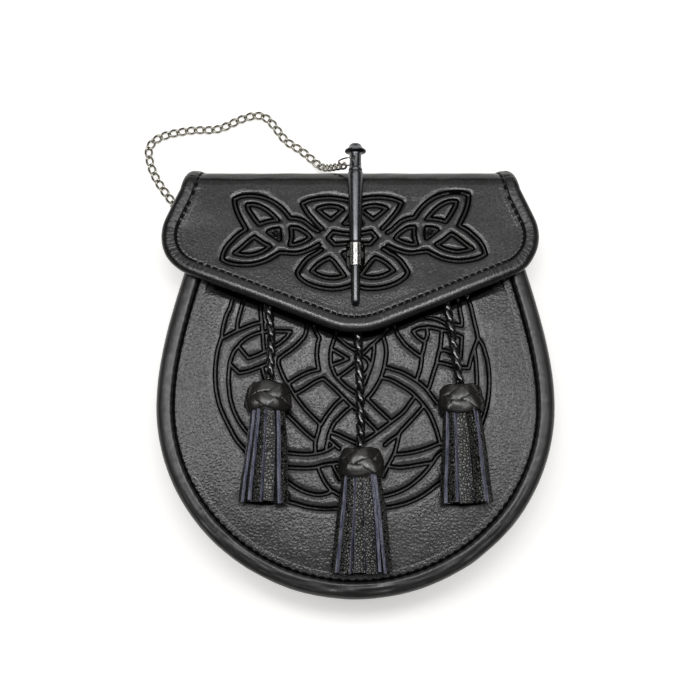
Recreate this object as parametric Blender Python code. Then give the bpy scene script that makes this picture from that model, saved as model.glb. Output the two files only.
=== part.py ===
"""Day sporran: a flat-backed leather pouch lying on its back, closed by a peg on a chain.

Metres, +Z up. The back panel's outer face lies at z = 0, +Y is towards the top of the pouch and +X is to
the right, seen from the front. The origin is on the back panel, on the pouch's line of symmetry and at the
middle of its height. The front slopes, so the pouch is deeper at its foot than at its mouth.
"""

import math

import bmesh
import bpy
import numpy as np

MM = 0.001
GAP = 0.3 * MM  # between pieces that touch

# The pouch's outline, seen from the front: an ellipse below its widest line, flared sides above it.
HALF_WIDTH = 97.6 * MM
WIDEST_Y = -9.0 * MM
FOOT_Y = -103.8 * MM
SIDE_FLARE = 0.36  # how far a side leans inwards for each metre up, well above the widest line
SIDE_BEND = 16.0 * MM  # size of the bend that joins the flare to the widest line
BACK_TOP_Y = 97.5 * MM
FRONT_TOP_Y = 92.5 * MM

# Depth of the pouch: height of the front panel's seam above the floor, at the foot and at the mouth.
SEAM_Z_FOOT = 31.5 * MM
SEAM_Z_MOUTH = 22.5 * MM
FRONT_SLOPE = (SEAM_Z_FOOT - SEAM_Z_MOUTH) / (FRONT_TOP_Y - FOOT_Y)

# Leather
BACK_THICK = 2.0 * MM
FRONT_THICK = 2.0 * MM
GUSSET_THICK = 1.8 * MM
FLAP_THICK = 2.0 * MM
BINDING_THICK = 1.0 * MM

# Insets from the outline, seen from the front
BACK_INSET = 4.6 * MM
FLANGE_INSET = 4.9 * MM
GUSSET_INSET = 5.0 * MM
GUSSET_BOW = 1.2 * MM  # how far the gusset bulges outwards at half height
DOME_CENTRE_Y = -4.0 * MM

# The flap. Its outline is drawn on the flat leather: u across, v along, with v = 0 where the fold ends
# and the front face begins, v > 0 towards the tip and v < 0 over the fold and down to the sewn tail.
FOLD_Y = 98.5 * MM
FOLD_REACH = 9.5 * MM
FOLD_Z_LOW = 3.6 * MM
FOLD_Z_HIGH = 27.5 * MM
FLAP_RISE = 0.108  # slope of the front face, from the fold up to the tip
FLAP_HALF_AT_FOLD = 84.6 * MM
FLAP_SIDE_SLOPE = 0.47
FLAP_FOLD_SLOPE = 0.245
FLAP_TIP_V = 76.5 * MM  # where the two lower edges would meet
FLAP_EDGE_SLOPE = 0.402
FLAP_CORNER_RADIUS = 22.0 * MM
FLAP_TIP_RADIUS = 38.0 * MM
TAIL_HALF = 63.0 * MM
TAIL_LENGTH = 13.0 * MM
FLAP_SET_OVER = 2.6 * MM  # the flap sits this far to the left of the pouch's line of symmetry
SET_OVER_UNTIL = 35.0 * MM  # from here towards the tip it comes back to the line
SET_OVER_FADE = 25.0 * MM
FLAP_DROOP = 2.4 * MM  # how far its corners hang
DROOP_START = 58.0 * MM
DROOP_FADE = 20.0 * MM
FLAP_COLUMNS = 13
BINDING_WIDTH = 6.8 * MM
BINDING_SHOULDER = 0.6  # where the binding's edge starts to round off, as a share of its half thickness
FLAP_EDGE_INSET = BINDING_THICK + GAP

# The peg, the loop that holds it and the slot that the loop comes through
LOOP_Y = 63.9 * MM
LOOP_LENGTH = 11.6 * MM
LOOP_WALL = 0.6 * MM
ROD_RADIUS = 2.15 * MM
PEG_Z_AT_LOOP = 35.7 * MM
PEG_SLOPE = 0.088
PEG_HEAD_Y = 121.0 * MM
PEG_HOLE_ALONG = 8.3 * MM  # from the head's top
PEG_HOLE_RADIUS = 1.3 * MM
PEG_HOLE_TILT = math.radians(17.0)
PEG_SIDES = 14
LOOP_BASE = (13.0 * MM, 14.0 * MM, 0.9 * MM)  # the plate's width, length and thickness
LOOP_FLOOR = 0.4 * MM  # metal left over the plate, under the hole
SLOT_SIZE = (8.6 * MM, 16.0 * MM)  # width and length

# Strap rings, their tabs and the chain
RING_WIRE = 1.1 * MM
RING_BAR_X = 80.6 * MM
RING_Y = 84.5 * MM
RING_HALF_BAR = 6.0 * MM
RING_REACH = 10.0 * MM
RING_BOW = 0.8  # power of the bow's curve: under 1 it is squarer than an ellipse
RING_Z = 2.9 * MM
TAB_LENGTH = 9.0 * MM
TAB_WALL = 1.1 * MM
LINK_WIRE = 0.47 * MM
LINK_HALF_LENGTH = 2.7 * MM
LINK_HALF_WIDTH = 1.65 * MM
LINK_PITCH = 4.5 * MM
LINK_TWIST = math.radians(86.0)
LINK_STEPS = 10
WIRE_SIDES = 5
END_RING_RADIUS = 2.6 * MM
END_RING_WIRE = 0.45 * MM
END_RING_LIFT = 0.3 * MM  # its middle over that of the strap ring's wire
END_RING_OVERLAP = 0.4 * MM  # how far it reaches back into the last link
PEG_RING_WIRE = 0.42 * MM

# Tassels
THONG_RADIUS = 1.8 * MM
KNOT_LENGTH = 14.5 * MM
KNOT_HALF = 11.0 * MM
KNOT_DEPTH = 5.6 * MM
FRINGE_DEPTH_TOP = 4.4 * MM
FRINGE_DEPTH_END = 4.8 * MM
STRIPS = 11

# Peg profile, from the head's top to the tip.
PEG_PROFILE = [
    # along (mm), radius (mm)
    (0.0, 1.7),
    (0.5, 2.7),
    (1.9, 3.4),
    (3.2, 4.6),
    (4.1, 5.35),
    (4.7, 5.1),
    (4.9, 3.1),
    (12.9, 3.0),
    (13.4, 3.35),
    (14.2, 3.35),
    (14.7, 3.05),
    (15.4, 3.7),
    (17.0, 3.8),
    (34.0, 3.3),
    (51.0, 2.7),
    (51.4, 2.15),
    (80.9, 2.15),
    (82.2, 1.5),
    (82.7, 0.5),
]

# Dome of the front panel, from its edge to its middle.
DOME = [
    # share of the way out from the middle, height over the seam (mm)
    (1.0, 0.0),
    (0.905, 0.0),
    (0.87, 0.8),
    (0.74, 1.6),
    (0.45, 2.2),
]

# Section of the rim: a padded roll whose lower lobe covers the front panel's edge.
RIM_SECTION = [
    # inset (mm), height over the seam (mm)
    (8.0, 0.3),
    (8.0, 1.9),
    (6.4, 3.2),
    (3.4, 3.3),
    (0.9, 1.8),
    (0.0, -0.6),
    (1.3, -3.0),
    (4.5, -3.4),
    (4.5, 0.3),
]

# Tassels. The thong leaves the front panel under the flap.
TASSELS = [
    # name, thong top (x, y), thong middle (x, y), knot top (x, y), fringe end (x, y), half widths top, end
    ("left", (-43.6, 46.0), (-41.4, 22.0), (-42.0, 1.2), (-44.4, -57.4), 8.4, 12.6),
    ("middle", (0.4, 39.0), (2.0, 4.0), (2.6, -31.2), (2.8, -91.4), 9.2, 15.2),
    ("right", (43.9, 48.0), (47.6, 23.0), (50.8, -0.2), (53.6, -57.9), 9.2, 13.2),
]

# Section of one strip of a fringe.
STRIP_SECTION = [
    # share of the strip's pitch, reach as a share of the fringe's half width
    (0.06, 0.74),
    (0.12, 1.0),
    (0.88, 1.0),
    (0.94, 0.74),
]

# Outline of a tassel's knot.
KNOT_PROFILE = [
    # share along, share of the width
    (0.0, 0.5),
    (0.1, 0.82),
    (0.35, 1.0),
    (0.7, 0.98),
    (1.0, 0.8),
]

# Route of the chain from the ring in the peg's hole to the left strap ring (mm).
CHAIN_ROUTE = [
    # x, y, z
    (-4.9, 110.9, 26.2),
    (-8.6, 111.9, 20.4),
    (-12.6, 112.9, 13.6),
    (-16.4, 114.6, 6.6),
    (-20.4, 118.3, 1.9),
    (-27.8, 124.8, 1.2),
    (-35.7, 129.8, 1.2),
    (-40.3, 136.0, 1.2),
    (-47.2, 143.0, 1.2),
    (-57.0, 142.0, 1.2),
    (-70.2, 136.1, 1.2),
    (-83.5, 135.5, 1.2),
    (-97.6, 132.8, 1.2),
    (-105.0, 128.4, 1.2),
    (-106.0, 122.0, 1.2),
    (-103.1, 112.1, 1.2),
    (-97.6, 103.2, 1.2),
    (-92.6, 96.6, 1.35),
    (-91.3, 93.9, 2.2),
]

# Ring in the peg's hole, from the hole's middle (mm).
PEG_RING = [
    # x, y, z
    (0.0, 0.0, 0.0),
    (-1.05, 0.0, 3.4),
    (-3.5, -0.2, 4.5),
    (-6.8, -0.6, 2.6),
    (-8.4, -1.0, -0.8),
    (-6.8, -1.6, -4.0),
    (-3.4, -1.6, -5.8),
    (0.2, -0.8, -5.4),
    (1.02, 0.0, -3.4),
]


def clear_scene():
    for old in list(bpy.data.objects):
        bpy.data.objects.remove(old, do_unlink=True)


def make_material(name, colour, roughness, metallic=0.0):
    material = bpy.data.materials.new(name)
    material.use_nodes = True
    shader = material.node_tree.nodes["Principled BSDF"]
    shader.inputs["Base Color"].default_value = (*colour, 1.0)
    shader.inputs["Roughness"].default_value = roughness
    shader.inputs["Metallic"].default_value = metallic
    return material


def add_solid(name, points, faces, material, smooth=True):
    """A closed mesh from points and faces, with its faces turned outwards."""
    mesh = bpy.data.meshes.new(name)
    mesh.from_pydata([tuple(p) for p in points], [], [tuple(f) for f in faces])
    shape = bmesh.new()
    shape.from_mesh(mesh)
    bmesh.ops.recalc_face_normals(shape, faces=shape.faces)
    shape.to_mesh(mesh)
    shape.free()
    solid = bpy.data.objects.new(name, mesh)
    bpy.context.collection.objects.link(solid)
    if material:
        mesh.materials.append(material)
    if smooth:
        mesh.shade_smooth()
        mesh.set_sharp_from_angle(angle=math.radians(35))
    return solid


def loft(rings, closed=False):
    """Faces between rings of equal length, shape (rings, points, 3), capped at both ends unless closed."""
    rings = np.asarray(rings, float)
    count, size = rings.shape[:2]
    faces = []
    for i in range(count if closed else count - 1):
        here, there = i * size, ((i + 1) % count) * size
        for j in range(size):
            k = (j + 1) % size
            faces.append((here + j, here + k, there + k, there + j))
    if not closed:
        faces.append(tuple(range(size)))
        faces.append(tuple(range((count - 1) * size, count * size)))
    return rings.reshape(-1, 3), faces


def cut(solid, cutter):
    """Takes the cutter out of the solid."""
    cutter.hide_render = True
    cutter.display_type = "WIRE"
    modifier = solid.modifiers.new("cut", "BOOLEAN")
    modifier.operation = "DIFFERENCE"
    modifier.solver = "EXACT"
    modifier.object = cutter


def spline(points, count, closed=False):
    """Points at equal distances along a Catmull-Rom curve through the given points."""
    points = np.asarray(points, float)
    if closed:
        padded = np.vstack([points[-1:], points, points[:2]])
    else:
        padded = np.vstack([2 * points[0] - points[1], points, 2 * points[-1] - points[-2]])
    t = np.linspace(0, 1, 40, endpoint=False)[:, None]
    parts = []
    for a, b, c, d in zip(padded[:-3], padded[1:-2], padded[2:-1], padded[3:]):
        parts.append(
            0.5 * (2 * b + (c - a) * t + (2 * a - 5 * b + 4 * c - d) * t**2 + (3 * b - a - 3 * c + d) * t**3)
        )
    fine = np.vstack(parts + [padded[-2:-1]])
    run = np.concatenate([[0.0], np.cumsum(np.linalg.norm(np.diff(fine, axis=0), axis=1))])
    at = np.linspace(0, run[-1], count, endpoint=not closed)
    return np.stack([np.interp(at, run, fine[:, k]) for k in range(3)], axis=1)


def half_width(y):
    """Half the pouch's width at height y."""
    above = np.maximum(y - WIDEST_Y, 0.0)
    below = np.clip((WIDEST_Y - y) / (WIDEST_Y - FOOT_Y), 0.0, 1.0)
    flare = np.hypot(SIDE_FLARE * above, SIDE_BEND) - SIDE_BEND
    return (HALF_WIDTH - flare) * np.sqrt(1.0 - below**2)


def seam_height(y):
    """Height of the front panel's seam over the floor."""
    return SEAM_Z_FOOT - FRONT_SLOPE * (y - FOOT_Y)


def body_path(top, count):
    """Points (x, y) and outward normals along the pouch's sides and foot, from left top to right top."""
    angle = np.linspace(0, math.pi, 121)
    side = np.linspace(top, WIDEST_Y, 41)[:-1]
    foot = np.stack([-HALF_WIDTH * np.cos(angle), WIDEST_Y - (WIDEST_Y - FOOT_Y) * np.sin(angle)], 1)
    left = np.stack([-half_width(side), side], 1)
    fine = np.vstack([left, foot, left[::-1] * (-1, 1)])
    run = np.concatenate([[0.0], np.cumsum(np.linalg.norm(np.diff(fine, axis=0), axis=1))])
    at = np.linspace(0, run[-1], count)
    path = np.stack([np.interp(at, run, fine[:, k]) for k in range(2)], 1)
    along = np.gradient(path, axis=0)
    along /= np.linalg.norm(along, axis=1, keepdims=True)
    return path, np.stack([along[:, 1], -along[:, 0]], 1)


def panel_outline(top, inset, count, across):
    """The closed outline of a panel: the pouch's path set in by the inset, and a straight top edge."""
    path, outward = body_path(top, count)
    path = path - outward * inset
    path[0, 1] = path[-1, 1] = top
    edge = np.linspace(path[-1], path[0], across + 2)[1:-1]
    return np.vstack([path, edge])


def make_back_panel(material):
    outline = panel_outline(BACK_TOP_Y, BACK_INSET, 40, 3)
    rings = [np.column_stack([outline, np.full(len(outline), z)]) for z in (0.0, BACK_THICK)]
    return add_solid("back_panel", *loft(rings), material)


def make_front_panel(material):
    outline = panel_outline(FRONT_TOP_Y, FLANGE_INSET, 34, 5)
    middle = np.array([0.0, DOME_CENTRE_Y])
    rings = []
    for under in (0.0, FRONT_THICK):
        layer = []
        for share, height in DOME:
            ring = middle + share * (outline - middle)
            layer.append(np.column_stack([ring, seam_height(ring[:, 1]) + height * MM - under]))
        rings += layer[::-1] if under == 0.0 else layer
    return add_solid("front_panel", *loft(rings), material)


def make_gusset(material):
    path, outward = body_path(FRONT_TOP_Y - 1.5 * MM, 32)
    rings = []
    low = BACK_THICK + GAP
    for (x, y), (nx, ny) in zip(path, outward):
        ring = []
        for inset in (GUSSET_INSET, GUSSET_INSET + GUSSET_THICK):
            wall = []
            for share in (0.0, 0.33, 0.67, 1.0):
                reach = inset - GUSSET_BOW * math.sin(math.pi * share)
                here_y = y - ny * reach
                high = seam_height(here_y) - FRONT_THICK - GAP
                wall.append((x - nx * reach, here_y, low + share * (high - low)))
            ring += wall if inset == GUSSET_INSET else wall[::-1]
        rings.append(ring)
    return add_solid("gusset", *loft(rings), material)


def make_rim(material):
    path, outward = body_path(FRONT_TOP_Y - 1.0 * MM, 40)
    rings = []
    for (x, y), (nx, ny) in zip(path, outward):
        rings.append(
            [
                (x - nx * inset * MM, y - ny * inset * MM, seam_height(y - ny * inset * MM) + height * MM)
                for inset, height in RIM_SECTION
            ]
        )
    return add_solid("front_rim", *loft(rings), material)


def fold_angle_run():
    """Run of the fold's mid-line against its angle: 0 at the front face, pi at the tail."""
    angle = np.linspace(0, math.pi, 181)
    half_height = (FOLD_Z_HIGH - FOLD_Z_LOW) / 2
    step = np.hypot(FOLD_REACH * np.cos(angle), half_height * np.sin(angle))
    run = np.concatenate([[0.0], np.cumsum((step[1:] + step[:-1]) / 2 * (angle[1] - angle[0]))])
    return angle, run


FOLD_ANGLE, FOLD_RUN = fold_angle_run()
FOLD_LENGTH = FOLD_RUN[-1]


def flap_point(u, v, lift):
    """Where a point (u, v) of the flat leather lies once folded, lifted off its mid-surface by lift."""
    u, v, lift = np.broadcast_arrays(np.asarray(u, float), np.asarray(v, float), lift)
    front = np.maximum(v, 0.0) / math.hypot(1.0, FLAP_RISE)
    angle = np.interp(np.clip(-v, 0.0, FOLD_LENGTH), FOLD_RUN, FOLD_ANGLE)
    tail = np.maximum(-v - FOLD_LENGTH, 0.0)
    middle, half_height = (FOLD_Z_HIGH + FOLD_Z_LOW) / 2, (FOLD_Z_HIGH - FOLD_Z_LOW) / 2
    y = FOLD_Y - front + FOLD_REACH * np.sin(angle) - tail
    z = middle + half_height * np.cos(angle) + front * FLAP_RISE
    across = np.stack([half_height * np.sin(angle), FOLD_REACH * np.cos(angle)])
    across /= np.maximum(np.linalg.norm(across, axis=0), 1e-9)
    on_front = v > 0
    ny = np.where(on_front, FLAP_RISE / math.hypot(1.0, FLAP_RISE), across[0])
    nz = np.where(on_front, 1.0 / math.hypot(1.0, FLAP_RISE), across[1])
    shift = FLAP_SET_OVER * (1.0 - np.clip((v - SET_OVER_UNTIL) / SET_OVER_FADE, 0.0, 1.0))
    past = np.clip((np.abs(u) - DROOP_START) / (HALF_WIDTH - DROOP_START), 0.0, None)
    droop = FLAP_DROOP * past**2 * np.clip(v / DROOP_FADE, 0.0, 1.0)
    return np.stack([u - shift, y + ny * lift, z + nz * lift - droop], -1)


def corner_arc(corner, before, after, radius, steps):
    """Points of the arc that rounds a corner between two directions leading away from it."""
    before, after = before / np.linalg.norm(before), after / np.linalg.norm(after)
    half = math.acos(np.dot(before, after)) / 2
    bisector = (before + after) / np.linalg.norm(before + after)
    centre = corner + bisector * radius / math.sin(half)
    first = corner + before * radius / math.tan(half) - centre
    last = corner + after * radius / math.tan(half) - centre
    sweep = math.atan2(first[0] * last[1] - first[1] * last[0], first @ last)
    turns = np.linspace(0, sweep, steps)[:, None]
    across = np.array([-first[1], first[0]])
    return centre + first * np.cos(turns) + across * np.sin(turns)


def flap_outline():
    """The flat flap's outline (u, v), from the right foot of the fold to its left foot, and its way in."""
    fold_v = np.linspace(-FOLD_LENGTH, 0.0, 7)
    fold = np.stack([FLAP_HALF_AT_FOLD + FLAP_FOLD_SLOPE * fold_v, fold_v], 1)
    meet_u = (FLAP_HALF_AT_FOLD + FLAP_SIDE_SLOPE * FLAP_TIP_V) / (1 + FLAP_SIDE_SLOPE * FLAP_EDGE_SLOPE)
    corner = np.array([meet_u, FLAP_TIP_V - FLAP_EDGE_SLOPE * meet_u])
    tip = np.array([0.0, FLAP_TIP_V])
    round_corner = corner_arc(corner, fold[-1] - corner, tip - corner, FLAP_CORNER_RADIUS, 6)
    round_tip = corner_arc(tip, corner - tip, (corner - tip) * (-1, 1), FLAP_TIP_RADIUS, 7)
    side = np.linspace(fold[-1], round_corner[0], 3)[1:-1]
    edge = np.linspace(round_corner[-1], round_tip[0], 5)[1:-1]
    right = np.vstack([fold, side, round_corner, edge, round_tip[:3]])
    path = np.vstack([right, round_tip[3:4], right[::-1] * (-1, 1)])
    along = np.gradient(path, axis=0)
    along /= np.linalg.norm(along, axis=1, keepdims=True)
    inward = np.stack([-along[:, 1], along[:, 0]], 1)
    on_fold = path[:, 1] <= 0.0
    inward[on_fold] = np.stack([-np.sign(path[on_fold, 0]), np.zeros(on_fold.sum())], 1)
    return path, inward


def make_flap(material):
    """The flap's leather, from its sewn tail to its tip, short of its outline by the binding's edge."""
    path, inward = flap_outline()
    half = len(path) // 2
    edge = (path + inward * FLAP_EDGE_INSET)[: half + 1]
    tip = edge[-1]
    tail = [(TAIL_HALF, -FOLD_LENGTH - TAIL_LENGTH), (TAIL_HALF, -FOLD_LENGTH - 2.0 * MM)]
    edge = np.vstack([tail, edge[:-1]])
    share = np.linspace(-1, 1, FLAP_COLUMNS)
    rows, columns = len(edge), len(share)
    layers = []
    for lift in (FLAP_THICK / 2, -FLAP_THICK / 2):
        u = edge[:, :1] * share[None, :]
        v = np.repeat(edge[:, 1:], columns, axis=1)
        layers.append(np.vstack([flap_point(u, v, lift).reshape(-1, 3), flap_point(*tip, lift)[None]]))
    size = rows * columns + 1
    faces = []
    for i in range(rows - 1):
        for j in range(columns - 1):
            a, b = i * columns + j, (i + 1) * columns + j
            faces.append((a, a + 1, b + 1, b))
            faces.append((size + a, size + b, size + b + 1, size + a + 1))
    last = (rows - 1) * columns
    for j in range(columns - 1):
        faces.append((last + j, last + j + 1, size - 1))
        faces.append((size + last + j + 1, size + last + j, 2 * size - 1))
    left = [i * columns for i in range(rows)]
    right = [i * columns + columns - 1 for i in range(rows)]
    border = left + [size - 1] + right[::-1] + list(range(columns - 2, 0, -1))
    for a, b in zip(border, border[1:] + border[:1]):
        faces.append((a, b, size + b, size + a))
    flap = add_solid("flap", np.vstack(layers), faces, material)
    cut(flap, make_slot_cutter())
    return flap


def make_slot_cutter():
    """A tall oval prism where the peg's loop comes up through the flap."""
    half_x, half_y = SLOT_SIZE[0] / 2, SLOT_SIZE[1] / 2
    turn = np.linspace(0, 2 * math.pi, 12, endpoint=False)
    x = half_x * np.cos(turn)
    y = LOOP_Y + half_x * np.sin(turn) + np.sign(np.sin(turn) + 1e-6) * (half_y - half_x)
    rings = [np.column_stack([x, y, np.full(12, z)]) for z in (PEG_Z_AT_LOOP - 12 * MM, PEG_Z_AT_LOOP)]
    return add_solid("slot_cutter", *loft(rings), None, smooth=False)


def make_binding(material):
    """A strip folded round the flap's free edge, from one end of the fold to the other."""
    edge, inward = flap_outline()
    half = FLAP_THICK / 2 + GAP
    top = half + BINDING_THICK
    shoulder = BINDING_SHOULDER * half
    section = [
        # inset from the edge, lift off the flap's mid-surface
        (BINDING_WIDTH, top),
        (BINDING_THICK, top),
        (0.0, shoulder),
        (0.0, -shoulder),
        (BINDING_THICK, -top),
        (BINDING_WIDTH, -top),
        (BINDING_WIDTH, -half),
        (BINDING_THICK, -half),
        (BINDING_THICK, half),
        (BINDING_WIDTH, half),
    ]
    rings = []
    for point, direction in zip(edge, inward):
        ring = [flap_point(*(point + direction * inset), lift) for inset, lift in section]
        rings.append(ring)
    return add_solid("flap_binding", *loft(rings), material)


def peg_point(along):
    """A point on the peg's axis, at a distance from the head's top."""
    y = PEG_HEAD_Y - along / math.hypot(1.0, PEG_SLOPE)
    return np.array([0.0, y, PEG_Z_AT_LOOP + PEG_SLOPE * (LOOP_Y - y)])


def make_peg(material):
    turn = np.linspace(0, 2 * math.pi, PEG_SIDES, endpoint=False)
    normal = np.array([0.0, PEG_SLOPE, 1.0]) / math.hypot(1.0, PEG_SLOPE)
    rings = []
    for along, radius in PEG_PROFILE:
        centre = peg_point(along * MM)
        spokes = np.outer(np.cos(turn), (1.0, 0.0, 0.0)) + np.outer(np.sin(turn), normal)
        rings.append(centre + spokes * radius * MM)
    peg = add_solid("peg", *loft(rings), material)
    cut(peg, make_hole_cutter())
    return peg


def make_hole_cutter():
    """A rod across the peg's neck, leaning to the left."""
    turn = np.linspace(0, 2 * math.pi, 10, endpoint=False)
    axis = np.array([-math.sin(PEG_HOLE_TILT), 0.0, math.cos(PEG_HOLE_TILT)])
    side = np.array([math.cos(PEG_HOLE_TILT), 0.0, math.sin(PEG_HOLE_TILT)])
    spokes = np.outer(np.cos(turn), side) + np.outer(np.sin(turn), (0.0, 1.0, 0.0))
    middle = peg_point(PEG_HOLE_ALONG)
    rings = [middle + axis * reach + spokes * PEG_HOLE_RADIUS for reach in (-8 * MM, 8 * MM)]
    return add_solid("hole_cutter", *loft(rings), None, smooth=False)


def make_peg_loop(material):
    """The metal loop round the peg's rod, on a plate that is fixed to the front panel."""
    inner = ROD_RADIUS + GAP
    outer = inner + LOOP_WALL
    base_x, base_y, base_thick = LOOP_BASE
    base_top = front_height(0.0, LOOP_Y) + 2 * GAP + base_thick
    base_low = base_top - base_thick
    arch = np.linspace(0, math.pi, 9)
    axis = PEG_Z_AT_LOOP
    outline = [(base_x / 2, base_low), (base_x / 2, base_top), (outer, base_top)]
    outline += [(outer * math.cos(a), axis + outer * math.sin(a)) for a in arch]
    outline += [(-outer, base_top), (-base_x / 2, base_top), (-base_x / 2, base_low)]
    half_y = LOOP_LENGTH / 2
    rings = []
    for y in (LOOP_Y - half_y, LOOP_Y + half_y):
        lean = PEG_SLOPE * (LOOP_Y - y)
        rings.append([(x, y, z + (lean if z > base_top + MM else 0.0)) for x, z in outline])
    loop = add_solid("peg_loop", *loft(rings), material)
    hole = [(inner * math.cos(a), axis + inner * math.sin(a)) for a in arch]
    hole += [(-inner, base_top + LOOP_FLOOR), (inner, base_top + LOOP_FLOOR)]
    rings = []
    for y in (LOOP_Y - base_y, LOOP_Y + base_y):
        lean = PEG_SLOPE * (LOOP_Y - y)
        rings.append([(x, y, z + (lean if z > base_top + MM else 0.0)) for x, z in hole])
    cut(loop, add_solid("loop_cutter", *loft(rings), None, smooth=False))
    return loop


def front_height(x, y):
    """Height of the front panel's upper face."""
    outline = panel_outline(FRONT_TOP_Y, FLANGE_INSET, 200, 60)
    middle = np.array([0.0, DOME_CENTRE_Y])
    offset = np.array([x, y]) - middle
    spokes = outline - middle
    bearing = np.arctan2(spokes[:, 1], spokes[:, 0])
    order = np.argsort(bearing)
    reach = np.interp(
        math.atan2(offset[1], offset[0]),
        bearing[order],
        np.linalg.norm(spokes, axis=1)[order],
        period=2 * math.pi,
    )
    share = math.hypot(*offset) / reach
    shares, heights = zip(*DOME[::-1])
    return seam_height(y) + np.interp(share, shares, heights) * MM


def wire_rings(path, radius, sides, facing):
    """Rings of a closed wire along a closed path. Its first corner is turned towards facing."""
    tangent = np.roll(path, -1, axis=0) - np.roll(path, 1, axis=0)
    tangent /= np.linalg.norm(tangent, axis=1, keepdims=True)
    facing = np.broadcast_to(np.asarray(facing, float), path.shape)
    turn = np.linspace(0, 2 * math.pi, sides, endpoint=False)
    rings = []
    for point, direction, towards in zip(path, tangent, facing):
        side = towards - direction * (towards @ direction)
        side /= np.linalg.norm(side)
        other = np.cross(direction, side)
        rings.append(point + radius * (np.outer(np.cos(turn), side) + np.outer(np.sin(turn), other)))
    return rings


def make_strap_ring(name, side, material):
    """A D-shaped ring: a straight bar in the tab and a bow that takes the strap."""
    bar_x, y = RING_BAR_X, RING_Y
    turn = np.linspace(-math.pi / 2, math.pi / 2, 11)
    path = [(bar_x, y + RING_HALF_BAR), (bar_x, y - RING_HALF_BAR)]
    for a in turn[1:-1]:
        path.append((bar_x + RING_REACH * math.cos(a) ** RING_BOW, y + RING_HALF_BAR * math.sin(a)))
    path = np.array([(side * px, py, RING_Z) for px, py in path])
    return add_solid(name, *loft(wire_rings(path, RING_WIRE, 6, (0, 0, 1)), closed=True), material)


def make_strap_tab(name, side, material):
    """A leather strip folded round the ring's bar and sewn to the gusset's foot."""
    outer = RING_WIRE + GAP + TAB_WALL
    root_x = half_width(RING_Y - TAB_LENGTH / 2) - BACK_INSET + 2 * GAP
    arc = np.linspace(-math.pi / 2, math.pi / 2, 6)
    outline = [(RING_BAR_X + outer * math.cos(a), RING_Z + outer * math.sin(a)) for a in arc]
    outline += [(root_x, RING_Z + TAB_WALL), (root_x, RING_Z - TAB_WALL)]
    half_y = TAB_LENGTH / 2
    rings = [[(side * x, RING_Y + y, z) for x, z in outline] for y in (-half_y, half_y)]
    tab = add_solid(name, *loft(rings), material)
    turn = np.linspace(0, 2 * math.pi, 10, endpoint=False)
    hole = RING_WIRE + GAP
    cutter = [
        [(side * (RING_BAR_X + hole * math.cos(a)), RING_Y + y, RING_Z + hole * math.sin(a)) for a in turn]
        for y in (-TAB_LENGTH, TAB_LENGTH)
    ]
    cut(tab, add_solid(name + "_cutter", *loft(cutter), None, smooth=False))
    return tab


def curb_link(centre, along):
    """A twisted oval link that lies along a direction: its two ends are turned against each other."""
    along = along / np.linalg.norm(along)
    flat = np.cross((0.0, 0.0, 1.0), along)
    flat /= np.linalg.norm(flat)
    up = np.cross(along, flat)
    turn = np.linspace(0, 2 * math.pi, LINK_STEPS, endpoint=False)[:, None]
    twist = LINK_TWIST / 2 * np.cos(turn)
    across = flat * np.cos(twist) + up * np.sin(twist)
    path = centre + along * LINK_HALF_LENGTH * np.cos(turn) + across * LINK_HALF_WIDTH * np.sin(turn)
    return wire_rings(path, LINK_WIRE, WIRE_SIDES, np.cross(along, across))


def add_rings(name, groups, material):
    """One mesh from several closed wires that stay clear of each other."""
    points, faces = [], []
    for rings in groups:
        start = sum(len(p) for p in points)
        more_points, more_faces = loft(rings, closed=True)
        points.append(more_points)
        faces += [tuple(start + k for k in face) for face in more_faces]
    return add_solid(name, np.vstack(points), faces, material)


def make_chain(material):
    """Links at equal steps along the route, each through the next, fused into one body."""
    route = np.array(CHAIN_ROUTE) * MM
    fine = spline(route, 400)
    length = np.linalg.norm(np.diff(fine, axis=0), axis=1).sum()
    links = round(length / LINK_PITCH)
    ends = spline(route, links + 1)
    groups = [curb_link((a + b) / 2, b - a) for a, b in zip(ends[:-1], ends[1:])]
    middle = peg_point(PEG_HOLE_ALONG)
    peg_ring = spline(np.array(PEG_RING) * MM + middle, 14, closed=True)
    groups.insert(0, wire_rings(peg_ring, PEG_RING_WIRE, WIRE_SIDES, (0.0, 1.0, 0.0)))
    groups.append(end_ring(ends[-1], ends[-1] - ends[-2]))
    chain = add_rings("peg_chain", groups[::2], material)
    others = add_rings("chain_others", groups[1::2], None)
    others.hide_render = True
    others.display_type = "WIRE"
    modifier = chain.modifiers.new("fuse", "BOOLEAN")
    modifier.operation = "UNION"
    modifier.solver = "EXACT"
    modifier.object = others
    return chain


def end_ring(start, along):
    """The round ring that joins the last link to the strap ring's bow, standing on edge."""
    along = along * (1, 1, 0)
    along /= np.linalg.norm(along)
    centre = np.array([start[0], start[1], RING_Z + END_RING_LIFT])
    centre += along * (END_RING_RADIUS - END_RING_OVERLAP)
    turn = np.linspace(0, 2 * math.pi, 12, endpoint=False)
    path = centre + END_RING_RADIUS * (np.outer(np.cos(turn), along) + np.outer(np.sin(turn), (0, 0, 1)))
    return wire_rings(path, END_RING_WIRE, WIRE_SIDES, np.cross(along, (0.0, 0.0, 1.0)))


def frame_along(start, end):
    """Unit vectors along a tassel, across it and up from the panel that it lies on."""
    along = (end - start) / np.linalg.norm(end - start)
    across = np.cross(along, (0.0, 0.0, 1.0))
    across /= np.linalg.norm(across)
    return along, across, np.cross(across, along)


def lying_point(x, y, clearance):
    return np.array([x, y, front_height(x, y) + clearance])


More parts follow.
